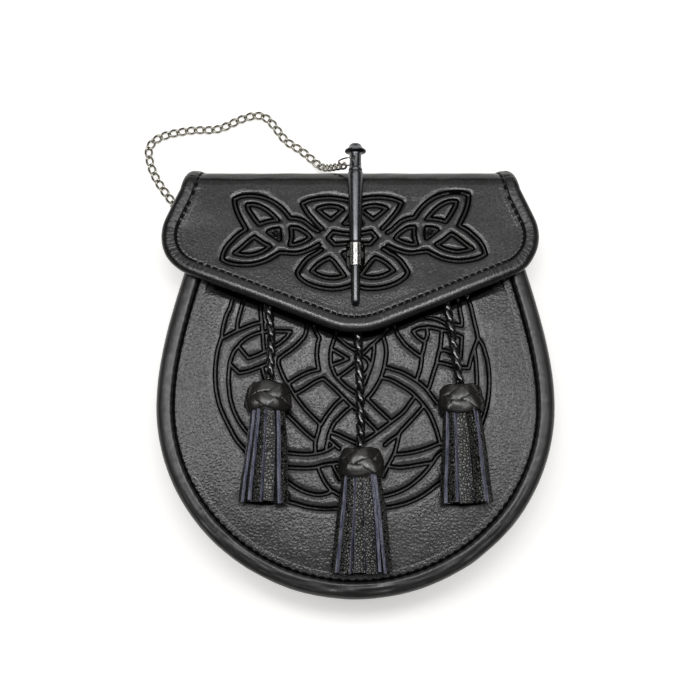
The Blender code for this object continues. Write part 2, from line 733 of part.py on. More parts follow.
def tassel_points(row):
    """The knot's top, the knot's foot and the fringe's end, on the tassel's middle line."""
    _, _, _, knot, end, _, _ = row
    top = np.array(knot) * MM
    foot = np.array(end) * MM
    share = KNOT_LENGTH / np.linalg.norm(foot - top)
    waist = top + (foot - top) * share
    heights = (KNOT_DEPTH, KNOT_DEPTH, FRINGE_DEPTH_END)
    return [lying_point(*p, h + 2 * GAP) for p, h in zip((top, waist, foot), heights)]


def make_thong(row, material):
    """The thong's tube, from under the flap to the knot's top."""
    name, top, middle, _, _, _, _ = row
    knot_top, waist, _ = tassel_points(row)
    along = (waist - knot_top) / np.linalg.norm(waist - knot_top)
    rest = THONG_RADIUS + 2 * GAP
    route = [lying_point(*(np.array(p) * MM), rest) for p in (top, middle)]
    route.append(knot_top - along * GAP)
    points = spline(route, 7)
    curve = bpy.data.curves.new(f"tassel_thong_{name}", "CURVE")
    curve.dimensions = "3D"
    line = curve.splines.new("POLY")
    line.points.add(len(points) - 1)
    for slot, point in zip(line.points, points):
        slot.co = (*point, 1.0)
    curve.bevel_depth = THONG_RADIUS
    curve.bevel_resolution = 2
    curve.use_fill_caps = True
    curve.materials.append(material)
    thong = bpy.data.objects.new(f"tassel_thong_{name}", curve)
    bpy.context.collection.objects.link(thong)
    return thong


def make_knot(row, material):
    """The bound head of a tassel: a flattened barrel that is round at both ends."""
    name = row[0]
    top, waist, _ = tassel_points(row)
    along, across, up = frame_along(top, waist)
    turn = np.linspace(0, 2 * math.pi, 14, endpoint=False)
    rings = []
    for share, wide in KNOT_PROFILE:
        centre = top + (waist - top) * share
        oval = np.outer(np.cos(turn) * KNOT_HALF, across) + np.outer(np.sin(turn) * KNOT_DEPTH, up)
        rings.append(centre + wide * oval)
    return add_solid(f"tassel_knot_{name}", *loft(rings), material)


def make_fringe(row, material):
    """The skirt of a tassel: strips that stand out from a flattened core, wider towards their ends."""
    name, _, _, _, _, half_top, half_end = row
    _, waist, end = tassel_points(row)
    along, across, up = frame_along(waist, end)
    start = waist + along * GAP
    rings = []
    for share in (0.0, 0.25, 0.6, 1.0):
        half = (half_top + (half_end - half_top) * share) * MM
        depth = FRINGE_DEPTH_TOP + (FRINGE_DEPTH_END - FRINGE_DEPTH_TOP) * share
        centre = start + (end - start) * share
        ring = []
        for strip in range(STRIPS):
            for corner, out in STRIP_SECTION:
                a = 2 * math.pi * (strip + corner) / STRIPS
                ring.append(centre + out * (across * half * math.cos(a) + up * depth * math.sin(a)))
        rings.append(ring)
    return add_solid(f"tassel_fringe_{name}", *loft(rings), material)


def build():
    clear_scene()
    leather = make_material("black_leather", (0.028, 0.027, 0.028), 0.48)
    edge_leather = make_material("binding_leather", (0.022, 0.021, 0.022), 0.42)
    thong = make_material("thong_leather", (0.012, 0.012, 0.013), 0.25)
    fringe = make_material("fringe_leather", (0.03, 0.03, 0.036), 0.55)
    peg_metal = make_material("dark_chrome", (0.24, 0.24, 0.24), 0.2, 1.0)
    bright_metal = make_material("bright_nickel", (0.75, 0.74, 0.7), 0.22, 1.0)
    make_back_panel(leather)
    make_gusset(leather)
    make_front_panel(leather)
    make_rim(edge_leather)
    make_flap(leather)
    make_binding(edge_leather)
    make_peg_loop(bright_metal)
    make_peg(peg_metal)
    for side_name, side in (("left", -1), ("right", 1)):
        make_strap_ring(f"strap_ring_{side_name}", side, bright_metal)
        make_strap_tab(f"strap_tab_{side_name}", side, edge_leather)
    make_chain(bright_metal)
    for row in TASSELS:
        make_thong(row, thong)
        make_knot(row, edge_leather)
        make_fringe(row, fringe)


build()
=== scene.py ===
import math

import bpy
import numpy as np
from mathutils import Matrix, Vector


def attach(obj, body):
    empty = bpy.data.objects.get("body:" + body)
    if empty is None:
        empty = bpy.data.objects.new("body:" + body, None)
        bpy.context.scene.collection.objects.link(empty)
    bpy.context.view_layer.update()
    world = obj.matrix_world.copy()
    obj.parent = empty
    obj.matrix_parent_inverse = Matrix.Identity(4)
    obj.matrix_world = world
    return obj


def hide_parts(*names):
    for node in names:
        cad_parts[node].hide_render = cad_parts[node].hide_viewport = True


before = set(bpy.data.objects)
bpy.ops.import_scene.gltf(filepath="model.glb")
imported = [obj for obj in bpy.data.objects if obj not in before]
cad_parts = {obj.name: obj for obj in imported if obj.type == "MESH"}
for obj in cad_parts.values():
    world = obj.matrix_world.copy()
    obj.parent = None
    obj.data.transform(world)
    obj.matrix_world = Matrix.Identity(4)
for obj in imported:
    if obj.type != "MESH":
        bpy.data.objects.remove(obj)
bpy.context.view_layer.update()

# Day sporran lying on its back. Lengths are worked out in millimetres and become metres in make_piece.
# x is to the right and y to the top of the pouch, seen from the front; the floor is z = 0.
MM = 0.001
scene = bpy.context.scene

# Camera: straight above the pouch, leaning a little towards its foot.
AIM = np.array([-2.695, 17.32, 30.0])
DISTANCE = 900.0
ELEVATION = math.radians(82.0)
LENS = 94.46
SENSOR = 36.0
CLIP_END = 20.0  # metres
IMAGE_SIZE = 700  # pixels
FOCAL = LENS / SENSOR * IMAGE_SIZE
EYE = AIM + DISTANCE * np.array([0.0, -math.cos(ELEVATION), math.sin(ELEVATION)])

# The pouch's outline and depth
HALF_WIDTH = 97.6
WIDEST_Y = -9.0
FOOT_Y = -103.8
SIDE_FLARE = 0.36
SIDE_BEND = 16.0
BACK_TOP_Y = 97.5
FRONT_TOP_Y = 92.5
RIM_BELOW_MOUTH = 1.0
SEAM_Z_FOOT = 31.5
SEAM_Z_MOUTH = 22.5
FRONT_SLOPE = (SEAM_Z_FOOT - SEAM_Z_MOUTH) / (FRONT_TOP_Y - FOOT_Y)
GAP = 0.3
BACK_THICK = 2.0
FRONT_THICK = 2.0
GUSSET_THICK = 1.8
BACK_INSET = 4.6
FLANGE_INSET = 4.9
GUSSET_INSET = 5.0
GUSSET_BOW = 1.2
DOME_CENTRE = np.array([0.0, -4.0])
DOME_HEIGHT = 2.2
DOME_SHARE = 0.966  # the dome ends here on the way out from its middle
DOME_POWER = 5.0

# Points along the paths that pieces are measured by
HALF_TURN_STEPS = 721
SIDE_STEPS = 241
ARC_STEPS = 61
EDGE_STEPS = 901
REACH_STEPS = 3001
STITCH_PATH_STEPS = 4001

# The flap: u across, v along its flat leather, v = 0 where the fold ends and the front face begins
FLAP_THICK = 2.0
BINDING_THICK = 1.0
FOLD_Y = 98.5
FOLD_REACH = 9.5
FOLD_Z_LOW = 3.6
FOLD_Z_HIGH = 27.5
FLAP_RISE = 0.108
FLAP_HALF_AT_FOLD = 84.6
FLAP_SIDE_SLOPE = 0.47
FLAP_FOLD_SLOPE = 0.245
FLAP_TIP_V = 76.5
FLAP_EDGE_SLOPE = 0.402
FLAP_CORNER_RADIUS = 22.0
FLAP_TIP_RADIUS = 38.0
TAIL_HALF = 63.0
TAIL_LENGTH = 13.0
FLAP_SET_OVER = 2.6
SET_OVER_UNTIL = 35.0
SET_OVER_FADE = 25.0
FLAP_DROOP = 2.4
DROOP_START = 58.0
DROOP_FADE = 20.0
FLAP_EDGE_INSET = BINDING_THICK + GAP

# The peg and its loop
LOOP_Y = 63.9
LOOP_LENGTH = 11.6
LOOP_WALL = 0.6
ROD_RADIUS = 2.15
PEG_Z_AT_LOOP = 35.7
PEG_SLOPE = 0.088
PEG_HEAD_Y = 121.0
PEG_HOLE_ALONG = 8.3
PEG_HOLE_RADIUS = 1.3
PEG_HOLE_TILT = math.radians(24.0)
LOOP_BASE = (13.0, 14.0, 0.9)  # width, length and thickness of its plate
LOOP_FLOOR = 0.4

# Strap rings, their tabs and the chain
RING_WIRE = 1.1
RING_BAR_X = 80.6
RING_Y = 84.5
RING_HALF_BAR = 6.0
RING_REACH = 10.0
RING_BOW = 0.8
RING_Z = 2.9
TAB_LENGTH = 9.0
TAB_WALL = 1.1
LINK_WIRE = 0.6
LINK_HALF_LENGTH = 2.7
LINK_HALF_WIDTH = 1.65
LINK_PITCH = 4.5
LINK_TWIST = math.radians(86.0)
END_RING_RADIUS = 2.6
END_RING_WIRE = 0.45
END_RING_LIFT = 0.3
END_RING_OVERLAP = 0.4
PEG_RING_WIRE = 0.42
CHAIN_ROUTE = [
    (-4.9, 110.9, 26.2), (-8.6, 111.9, 20.4), (-12.6, 112.9, 13.6), (-16.4, 114.6, 6.6),
    (-20.4, 118.3, 1.9), (-27.8, 124.8, 1.2), (-35.7, 129.8, 1.2), (-40.3, 136.0, 1.2),
    (-47.2, 143.0, 1.2), (-57.0, 142.0, 1.2), (-70.2, 136.1, 1.2), (-83.5, 135.5, 1.2),
    (-97.6, 132.8, 1.2), (-105.0, 128.4, 1.2), (-106.0, 122.0, 1.2), (-103.1, 112.1, 1.2),
    (-97.6, 103.2, 1.2), (-92.6, 96.6, 1.35), (-91.3, 93.9, 2.2),
]
# The ring in the peg's hole, from the hole's middle
PEG_RING = [
    (0.0, 0.0, 0.0), (-1.05, 0.0, 3.4), (-3.5, -0.2, 4.5), (-6.8, -0.6, 2.6), (-8.4, -1.0, -0.8),
    (-6.8, -1.6, -4.0), (-3.4, -1.6, -5.8), (0.2, -0.8, -5.4), (1.02, 0.0, -3.4),
]

# Tassels
THONG_RADIUS = 1.8
KNOT_LENGTH = 14.5
KNOT_HALF = 11.0
KNOT_DEPTH = 5.6
FRINGE_DEPTH_TOP = 4.4
FRINGE_DEPTH_END = 4.8
# Each tassel's line over the front, half widths of its fringe, and the turn that sets its knot's crossings
TASSELS = {
    "left": {
        "thong": [(-43.6, 46.0), (-41.4, 22.0)], "knot_top": (-42.0, 1.2), "fringe_end": (-44.4, -57.4),
        "half_top": 8.4, "half_end": 12.6, "knot_turn": -0.13,
    },
    "middle": {
        "thong": [(0.4, 39.0), (2.0, 4.0)], "knot_top": (2.6, -31.2), "fringe_end": (2.8, -91.4),
        "half_top": 9.2, "half_end": 15.2, "knot_turn": 0.56,
    },
    "right": {
        "thong": [(43.9, 48.0), (47.6, 23.0)], "knot_top": (50.8, -0.2), "fringe_end": (53.6, -57.9),
        "half_top": 9.2, "half_end": 13.2, "knot_turn": 0.79,
    },
}


def make_camera():
    """Puts the camera at EYE, turned about x only, so it looks at AIM."""
    data = bpy.data.cameras.new("camera")
    data.lens = LENS
    data.sensor_width = SENSOR
    data.clip_end = CLIP_END
    camera = bpy.data.objects.new("camera", data)
    camera.location = tuple(EYE * MM)
    camera.rotation_euler = (math.pi / 2 - ELEVATION, 0.0, 0.0)
    scene.collection.objects.link(camera)
    scene.camera = camera


make_camera()
scene.view_settings.view_transform = "Standard"


def unit(vectors):
    """Vectors over their own lengths."""
    return vectors / np.maximum(np.linalg.norm(vectors, axis=-1, keepdims=True), 1e-9)


def tangents(path, closed=False):
    """Unit directions along a path, each from its neighbours on both sides."""
    if closed:
        return unit(np.roll(path, -1, axis=0) - np.roll(path, 1, axis=0))
    return unit(np.gradient(path, axis=0))


def square_to(along, vectors):
    """Unit vectors square to along, turned as little as possible from the given ones."""
    return unit(vectors - along * np.sum(vectors * along, axis=1, keepdims=True))


SPLINE_STEPS = 40  # fine steps in each stretch of a spline


def spline(points, count, closed=False):
    """Equal steps along a Catmull-Rom curve: each stretch blends four neighbours with cubic weights."""
    points = np.asarray(points, float)
    if closed:
        padded = np.vstack([points[-1:], points, points[:2]])
    else:
        padded = np.vstack([2 * points[0] - points[1], points, 2 * points[-1] - points[-2]])
    t = np.linspace(0, 1, SPLINE_STEPS, endpoint=False)[:, None, None]
    a, b, c, d = padded[:-3], padded[1:-2], padded[2:-1], padded[3:]
    cubic = 2 * b + (c - a) * t + (2 * a - 5 * b + 4 * c - d) * t**2 + (3 * b - a - 3 * c + d) * t**3
    fine = np.vstack([0.5 * cubic.transpose(1, 0, 2).reshape(-1, points.shape[1]), padded[-2:-1]])
    return equal_steps(fine, count, endpoint=not closed)


def run_along(path):
    """Distance along a path at each of its points."""
    return np.concatenate([[0.0], np.cumsum(np.linalg.norm(np.diff(path, axis=0), axis=1))])


def read_along(at, run, values):
    """Rows of values that belong to the runs of a path, read at other runs."""
    return np.stack([np.interp(at, run, column) for column in values.T], axis=1)


def equal_steps(fine, count, endpoint=True):
    """The curve's points read again at equal runs along it."""
    run = run_along(fine)
    return read_along(np.linspace(0, run[-1], count, endpoint=endpoint), run, fine)


def turns(count):
    """Equal steps of one whole turn."""
    return np.linspace(0, 2 * math.pi, count, endpoint=False)


def smooth_step(value, low, high):
    """0 below low, 1 above high, and an s-curve between them."""
    share = np.clip((value - low) / (high - low), 0.0, 1.0)
    return share * share * (3.0 - 2.0 * share)


RUMPLE_CELLS = 97  # the random lattice repeats after as many cells


def rumple(x, y, seed):
    """Smooth random height from -1 to 1 with features one unit wide: lattice values blended by s-curves."""
    size = RUMPLE_CELLS
    lattice = np.random.default_rng(seed).uniform(-1.0, 1.0, (size, size))
    x, y = np.broadcast_arrays(np.asarray(x, float), np.asarray(y, float))
    column, row = np.floor(x).astype(int), np.floor(y).astype(int)
    across, along = smooth_step(x - column, 0, 1), smooth_step(y - row, 0, 1)
    here, right = lattice[column % size, row % size], lattice[(column + 1) % size, row % size]
    up, both = lattice[column % size, (row + 1) % size], lattice[(column + 1) % size, (row + 1) % size]
    return (here * (1 - across) + right * across) * (1 - along) + (up * (1 - across) + both * across) * along


def grid_faces(rows, columns, wrap_rows=False, wrap_columns=False, first=0):
    """Four-cornered faces of a grid whose points are numbered row by row; a wrapped side meets its start."""
    row = np.arange(rows if wrap_rows else rows - 1)[:, None]
    column = np.arange(columns if wrap_columns else columns - 1)
    beside, below = (column + 1) % columns, (row + 1) % rows * columns
    corners = [row * columns + column, row * columns + beside, below + beside, below + column]
    return first + np.stack(corners, -1).reshape(-1, 4)


def tube_faces(rows, columns, closed=False):
    """Faces of rows of points that each go round a tube; an open tube has a flat face at each end."""
    if closed:
        return [grid_faces(rows, columns, wrap_rows=True, wrap_columns=True)]
    ring = np.arange(columns)
    return [grid_faces(rows, columns, wrap_columns=True), ring[::-1], (rows - 1) * columns + ring]


def fan_faces(rim, pole):
    """Triangles from each stretch of an open rim of point numbers to a pole."""
    rim = np.asarray(rim)
    return np.stack([rim[:-1], rim[1:], np.full(len(rim) - 1, pole)], 1)


def volume_of(points, blocks):
    """Signed volume of a closed mesh: the sum over its fanned triangles of their corners' triple product."""
    total = 0.0
    for block in blocks:
        for k in range(1, block.shape[1] - 1):
            a, b, c = points[block[:, 0]], points[block[:, k]], points[block[:, k + 1]]
            total += np.einsum("ij,ij->", a, np.cross(b, c))
    return total


def make_piece(name, points, blocks, material, slot, replaces=(), attributes=None, sharp=None):
    """A finished piece from points in mm and blocks of faces with equal corner counts, turned outwards. Its
    attributes are spread over the points' own shape; edges bent by more than sharp degrees stay sharp."""
    shape = np.shape(points)[:-1]
    points = np.asarray(points, float).reshape(-1, 3)
    blocks = [np.atleast_2d(np.asarray(block)) for block in blocks]
    if volume_of(points - points.mean(0), blocks) < 0:
        blocks = [block[:, ::-1] for block in blocks]
    corners = np.concatenate([block.ravel() for block in blocks]).astype(np.int32)
    sizes = np.concatenate([np.full(len(block), block.shape[1]) for block in blocks])
    mesh = bpy.data.meshes.new(name)
    mesh.vertices.add(len(points))
    mesh.vertices.foreach_set("co", (points * MM).astype(np.float32).ravel())
    mesh.loops.add(len(corners))
    mesh.loops.foreach_set("vertex_index", corners)
    mesh.polygons.add(len(sizes))
    mesh.polygons.foreach_set("loop_start", (np.cumsum(sizes) - sizes).astype(np.int32))
    mesh.polygons.foreach_set("use_smooth", np.ones(len(sizes), bool))
    mesh.update(calc_edges=True)
    if mesh.validate():
        raise ValueError(f"{name} has faulty faces")
    for title, values in (attributes or {}).items():
        values = np.broadcast_to(np.asarray(values, float), shape).ravel()
        mesh.attributes.new(title, "FLOAT", "POINT").data.foreach_set("value", values)
    if sharp:
        mesh.set_sharp_from_angle(angle=math.radians(sharp))
    mesh.materials.append(material)
    piece = bpy.data.objects.new(name, mesh)
    scene.collection.objects.link(piece)
    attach(piece, "root")
    if replaces:
        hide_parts(*replaces)
    return piece


def make_tube(name, points, *rest, **more):
    """A piece from rows of points that each go round it."""
    return make_piece(name, points, tube_faces(*points.shape[:2]), *rest, **more)


def join_parts(parts):
    """Points and blocks of several (points, blocks) parts as one."""
    points, blocks, start = [], [], 0
    for part_points, part_blocks in parts:
        points.append(np.asarray(part_points, float).reshape(-1, 3))
        blocks += [np.atleast_2d(np.asarray(block)) + start for block in part_blocks]
        start += len(points[-1])
    return np.vstack(points), blocks


def carried(path, across, up, section, closed=False):
    """A section carried along a path: point + across * section x + up * section y, capped if open."""
    section = np.broadcast_to(section, (len(path), *np.shape(section)[-2:]))
    points = path[:, None] + across[:, None] * section[..., :1] + up[:, None] * section[..., 1:]
    return points, tube_faces(*points.shape[:2], closed)


def round_section(radius, sides):
    """A circle as a section."""
    return radius * np.stack([np.cos(turns(sides)), np.sin(turns(sides))], 1)


def soft_bar_section(half_wide, half_thick, sides, power):
    """A rounded bar: cosine and sine raised to a power under 1 swell the ellipse towards its box."""
    cosine, sine = np.cos(turns(sides)), np.sin(turns(sides))
    wide, thick = (np.sign(value) * np.abs(value) ** power for value in (cosine, sine))
    return np.stack([half_wide * wide, half_thick * thick], 1)


def half_width(y):
    """Half the pouch's width at height y: an ellipse below its widest line, a bend into a flare above it."""
    above = np.maximum(y - WIDEST_Y, 0.0)
    below = np.clip((WIDEST_Y - y) / (WIDEST_Y - FOOT_Y), 0.0, 1.0)
    flare = np.hypot(SIDE_FLARE * above, SIDE_BEND) - SIDE_BEND
    return (HALF_WIDTH - flare) * np.sqrt(1.0 - below**2)


def seam_height(y):
    """Height of the front panel's seam over the floor: a straight slope from the foot to the mouth."""
    return SEAM_Z_FOOT - FRONT_SLOPE * (y - FOOT_Y)


def body_path(top, count):
    """Points and outward normals along the sides and foot, from left top to right top."""
    angle = np.linspace(0, math.pi, HALF_TURN_STEPS)
    side = np.linspace(top, WIDEST_Y, SIDE_STEPS)[:-1]
    foot = np.stack([-HALF_WIDTH * np.cos(angle), WIDEST_Y - (WIDEST_Y - FOOT_Y) * np.sin(angle)], 1)
    left = np.stack([-half_width(side), side], 1)
    path = equal_steps(np.vstack([left, foot, left[::-1] * (-1, 1)]), count)
    along = tangents(path)
    return path, np.stack([along[:, 1], -along[:, 0]], 1)


def panel_outline(top, inset, count, across):
    """The closed outline of a panel: the pouch's path set in by the inset, and a straight top edge."""
    path, outward = body_path(top, count)
    path = path - outward * inset
    path[0, 1] = path[-1, 1] = top
    edge = np.linspace(path[-1], path[0], across + 2)[1:-1]
    return np.vstack([path, edge])


def front_reach():
    """Bearing and distance of the front panel's outline from the middle of its dome, sorted by bearing."""
    spokes = panel_outline(FRONT_TOP_Y, FLANGE_INSET, 500, 160) - DOME_CENTRE
    bearing = np.arctan2(spokes[:, 1], spokes[:, 0])
    order = np.argsort(bearing)
    return bearing[order], np.linalg.norm(spokes, axis=1)[order]


REACH_BEARING, REACH = front_reach()


def front_height(x, y):
    """Height of the smooth front: the seam's slope plus a dome that falls off with a high power of the
    share of the way out."""
    dx, dy = x - DOME_CENTRE[0], y - DOME_CENTRE[1]
    share = np.hypot(dx, dy) / np.interp(np.arctan2(dy, dx), REACH_BEARING, REACH, period=2 * math.pi)
    dome = DOME_HEIGHT * (1.0 - np.minimum(share / DOME_SHARE, 1.0) ** DOME_POWER)
    return seam_height(y) + dome


def lying_point(x, y, clearance):
    """A point over the front panel."""
    return np.array([x, y, front_height(x, y) + clearance])


def tassel_points(tassel):
    """The knot's top, the knot's foot and the fringe's end, on the tassel's middle line."""
    top, foot = (np.array(TASSELS[tassel][key]) for key in ("knot_top", "fringe_end"))
    waist = top + (foot - top) * KNOT_LENGTH / np.linalg.norm(foot - top)
    half_depths = (KNOT_DEPTH, KNOT_DEPTH, FRINGE_DEPTH_END)
    return [lying_point(*p, half + 2 * GAP) for p, half in zip((top, waist, foot), half_depths)]


def frame_along(start, end):
    """Unit vectors along a tassel, across it and up from the panel that it lies on."""
    along = unit(end - start)
    across = unit(np.cross(along, (0.0, 0.0, 1.0)))
    return along, across, np.cross(across, along)


PER_METRE = 1000.0  # turns a size in mm into a texture's scale
UNEVEN = (0.3, 0.7)  # the range that most of a noise's values lie in


class Finish:
    """A Principled material and the nodes that feed it."""

    def __init__(self, name, colour, roughness, metallic=0.0):
        self.material = bpy.data.materials.new(name)
        self.material.use_nodes = True
        self.tree = self.material.node_tree
        self.shader = self.tree.nodes["Principled BSDF"]
        self.feed("Base Color", colour)
        self.feed("Roughness", roughness)
        self.feed("Metallic", metallic)

    def plug(self, value, socket):
        """Feeds a socket with a number, a colour, a vector or another node's output."""
        if isinstance(value, (int, float)):
            socket.default_value = value
        elif isinstance(value, tuple):
            socket.default_value = (*value, 1.0) if socket.type == "RGBA" else value
        else:
            self.tree.links.new(value, socket)

    def feed(self, title, value):
        """Feeds one of the shader's own sockets."""
        self.plug(value, self.shader.inputs[title])

    def node(self, kind, inputs=None, **settings):
        """A node with its settings and its inputs."""
        node = self.tree.nodes.new(kind)
        for key, value in settings.items():
            setattr(node, key, value)
        for key, value in (inputs or {}).items():
            self.plug(value, node.inputs[key])
        return node

    def noise(self, size, detail=2.0, stretch=None):
        """Smooth noise over Object coordinates with features of a size in mm, stretched along an axis if
        asked."""
        source = self.node("ShaderNodeTexCoord").outputs["Object"]
        if stretch:
            source = self.node("ShaderNodeMapping", {"Vector": source, "Scale": stretch}).outputs["Vector"]
        inputs = {"Vector": source, "Scale": PER_METRE / size, "Detail": detail}
        return self.node("ShaderNodeTexNoise", inputs).outputs["Fac"]

    def remap(self, value, low, high, new_low, new_high):
        """A value read from one range to another along an s-curve, held at its ends."""
        inputs = {0: value, 1: low, 2: high, 3: new_low, 4: new_high}
        return self.node("ShaderNodeMapRange", inputs, interpolation_type="SMOOTHSTEP").outputs[0]

    def combine(self, operation, first, second):
        """The sum, product or greatest of two values, each a socket or a number."""
        return self.node("ShaderNodeMath", {0: first, 1: second}, operation=operation).outputs[0]

    def tint(self, share, dark, light):
        """A colour between two, by a share."""
        ramp = self.node("ShaderNodeValToRGB", {"Fac": share})
        ramp.color_ramp.elements[0].color = (*dark, 1.0)
        ramp.color_ramp.elements[1].color = (*light, 1.0)
        return ramp.outputs["Color"]

    def blend(self, share, first, second):
        """The first colour where the share is 0 and the second where it is 1."""
        mix = self.node("ShaderNodeMix", {"Factor": share}, data_type="RGBA")
        sockets = [socket for socket in mix.inputs if socket.type == "RGBA"]
        for socket, colour in zip(sockets, (first, second)):
            self.plug(colour, socket)
        return next(socket for socket in mix.outputs if socket.type == "RGBA")

    def pebbles(self, size):
        """Leather grain: distance to the edges of cells of a size in mm, whose outlines a noise shifts by
        up to about a third of the size."""
        place = self.node("ShaderNodeTexCoord").outputs["Object"]
        inputs = {"Vector": place, "Scale": 0.6 * PER_METRE / size, "Detail": 2.0}
        noise = self.node("ShaderNodeTexNoise", inputs).outputs["Color"]
        inputs = {0: noise, 1: (0.35 * size * MM,) * 3, 2: place}
        shifted = self.node("ShaderNodeVectorMath", inputs, operation="MULTIPLY_ADD").outputs[0]
        inputs = {"Vector": shifted, "Scale": PER_METRE / size}
        cells = self.node("ShaderNodeTexVoronoi", inputs, feature="DISTANCE_TO_EDGE")
        return self.remap(cells.outputs["Distance"], 0.0, 0.45, 0.0, 1.0)

    def named_value(self, title):
        """A piece's own point attribute."""
        return self.node("ShaderNodeAttribute", attribute_name=title).outputs["Fac"]

    def raise_bump(self, *heights):
        """Bumps under one another, from (height socket, depth in mm, strength) rows."""
        normal = None
        for height, depth, strength in heights:
            inputs = {"Strength": strength, "Distance": depth * MM, "Height": height}
            if normal:
                inputs["Normal"] = normal
            normal = self.node("ShaderNodeBump", inputs).outputs["Normal"]
        self.feed("Normal", normal)

    def band(self, value, low, high, soft):
        """1 where a value lies between low and high and 0 outside, with soft flanks."""
        rise = self.remap(value, low - soft / 2, low + soft / 2, 0.0, 1.0)
        fall = self.remap(value, high - soft / 2, high + soft / 2, 1.0, 0.0)
        return self.combine("MULTIPLY", rise, fall)


# Near black colour painted into grooves and seams as their shade
PAINTED_CREVICE_SHADE = (0.0016, 0.0011, 0.0009)
CREVICE_SOFT = 0.3  # mm over which a crevice's painted shade comes in
FLOOR_SOFT = 0.1  # mm to either side of a groove's floor over which its painted shade ends
FLOOR_DARK = 0.45  # share of the crevice's painted shade on the floor
MIRRORED = (0.5, 0.02)  # mirrored light of open leather, and of a crevice under its painted shade
CALM_WIDTH = 2.6  # mm beyond a groove's wall over which the grain comes back


def grained_leather(name, grain, dark, light, gloss, depth=0.06, groove=None, dull=0.4, pebbled=0.7):
    """Pebbled leather: grain cells and a slower noise set its shade, its height is a fine noise plus the
    cells times pebbled. Where it is pressed, the away attribute, the distance in mm from a groove's middle
    line, paints shade: a near black colour that mirrors little light in the wall's crevice, and part of
    that painted shade on the smoother, darker floor, which mirrors less light by the share dull; groove
    gives the distances of the floor's end and the wall's end."""
    leather = Finish(name, dark, gloss[0])
    cells = leather.pebbles(grain)
    patches = leather.noise(30.0, 3.0)
    fine = leather.noise(grain * 0.6, 1.5)
    share = leather.combine("MULTIPLY", cells, leather.remap(patches, *UNEVEN, 0.55, 1.0))
    shade = leather.tint(share, dark, light)
    height = leather.combine("ADD", fine, leather.combine("MULTIPLY", cells, pebbled))
    creases = leather.noise(9.0, 4.0, stretch=(1.0, 0.55, 1.0))
    if groove:
        floor, wall = groove
        floor_end = (floor - FLOOR_SOFT, floor + FLOOR_SOFT)
        away = leather.named_value("away")
        # Painted shade: near black in the wall's crevice and partly so on the floor, with less mirrored light
        # there too
        crevice = leather.band(away, floor, wall + 0.02, CREVICE_SOFT)
        painted_groove_shade = leather.combine("MAXIMUM", crevice, leather.remap(away, *floor_end, FLOOR_DARK, 0.0))
        shade = leather.blend(painted_groove_shade, shade, PAINTED_CREVICE_SHADE)
        shade_dulling = leather.combine("MAXIMUM", crevice, leather.remap(away, *floor_end, dull, 0.0))
        mirrored = leather.remap(shade_dulling, 0.0, 1.0, *MIRRORED)
        gleam = leather.remap(fine, 0.35, 0.65, 0.78, 1.18)
        leather.feed("Specular IOR Level", leather.combine("MULTIPLY", mirrored, gleam))
        height = leather.combine("MULTIPLY", height, leather.remap(away, wall, wall + CALM_WIDTH, 0.25, 1.0))
    leather.feed("Base Color", shade)
    leather.feed("Roughness", leather.remap(patches, *UNEVEN, *gloss))
    leather.raise_bump((height, depth, 1.0), (creases, 0.25, 0.2))
    return leather.material


def smooth_leather(name, dark, light, gloss, depth, sheen_range=None):
    """Smooth satin leather of the rim, binding and knots: fine wrinkles and a faint grain. Given a range of
    mirrored light, the attribute that marks a painted sheen raises the mirrored light from its first value
    to its second."""
    leather = Finish(name, dark, gloss[0])
    fine = leather.noise(0.55, 3.0)
    wrinkles = leather.noise(2.2, 4.0)
    share = leather.remap(leather.noise(14.0, 3.0), *UNEVEN, 0.0, 1.0)
    leather.feed("Base Color", leather.tint(share, dark, light))
    leather.feed("Roughness", leather.remap(wrinkles, *UNEVEN, *gloss))
    # Painted sheen: more mirrored light where the piece's attribute asks for it
    if sheen_range:
        leather.feed("Specular IOR Level", leather.remap(leather.named_value("worn"), 0.0, 1.0, *sheen_range))
    leather.raise_bump((wrinkles, depth, 0.6), (fine, depth / 4, 0.6))
    return leather.material


def thong_finish():
    """Waxed black thong: glossy, with a fine unevenness."""
    thong = Finish("thong_leather", (0.006, 0.006, 0.0065), 0.14)
    thong.feed("Coat Weight", 1.0)
    streaks = thong.noise(0.7, 3.0)
    thong.feed("Base Color", thong.tint(thong.noise(5.0, 2.0), (0.003, 0.003, 0.003), (0.007, 0.007, 0.0072)))
    thong.feed("Roughness", thong.remap(streaks, *UNEVEN, 0.10, 0.20))
    thong.raise_bump((streaks, 0.04, 0.6))
    return thong.material


def fringe_finish():
    """Strips of grained leather; the cut attribute turns to the lavender of their smooth cut edges."""
    strip = Finish("fringe_leather", (0.035, 0.035, 0.042), 0.42)
    cut = strip.named_value("cut")
    cells = strip.pebbles(1.45)
    patches = strip.noise(9.0, 3.0, stretch=(1.0, 0.3, 1.0))
    streaks = strip.noise(0.9, 3.0, stretch=(1.0, 0.12, 1.0))
    fine = strip.noise(0.5, 3.0)
    share = strip.remap(cells, 0.03, 0.28, 0.0, 1.0)
    share = strip.combine("MULTIPLY", share, strip.remap(patches, *UNEVEN, 0.55, 1.0))
    face = strip.tint(share, (0.003, 0.003, 0.003), (0.060, 0.060, 0.055))
    edge = strip.tint(
        strip.remap(streaks, 0.35, 0.65, 0.0, 1.0), (0.045, 0.047, 0.080), (0.150, 0.150, 0.200)
    )
    strip.feed("Base Color", strip.blend(cut, face, edge))
    strip.feed("Roughness", strip.remap(cut, 0.0, 1.0, 0.30, 0.6))
    strip.feed("Specular IOR Level", strip.remap(share, 0.15, 0.6, 0.1, 0.75))
    grain = strip.combine("MULTIPLY", cells, strip.remap(cut, 0.0, 1.0, 1.0, 0.05))
    strip.raise_bump((grain, 0.15, 1.0), (fine, 0.04, 0.4))
    return strip.material


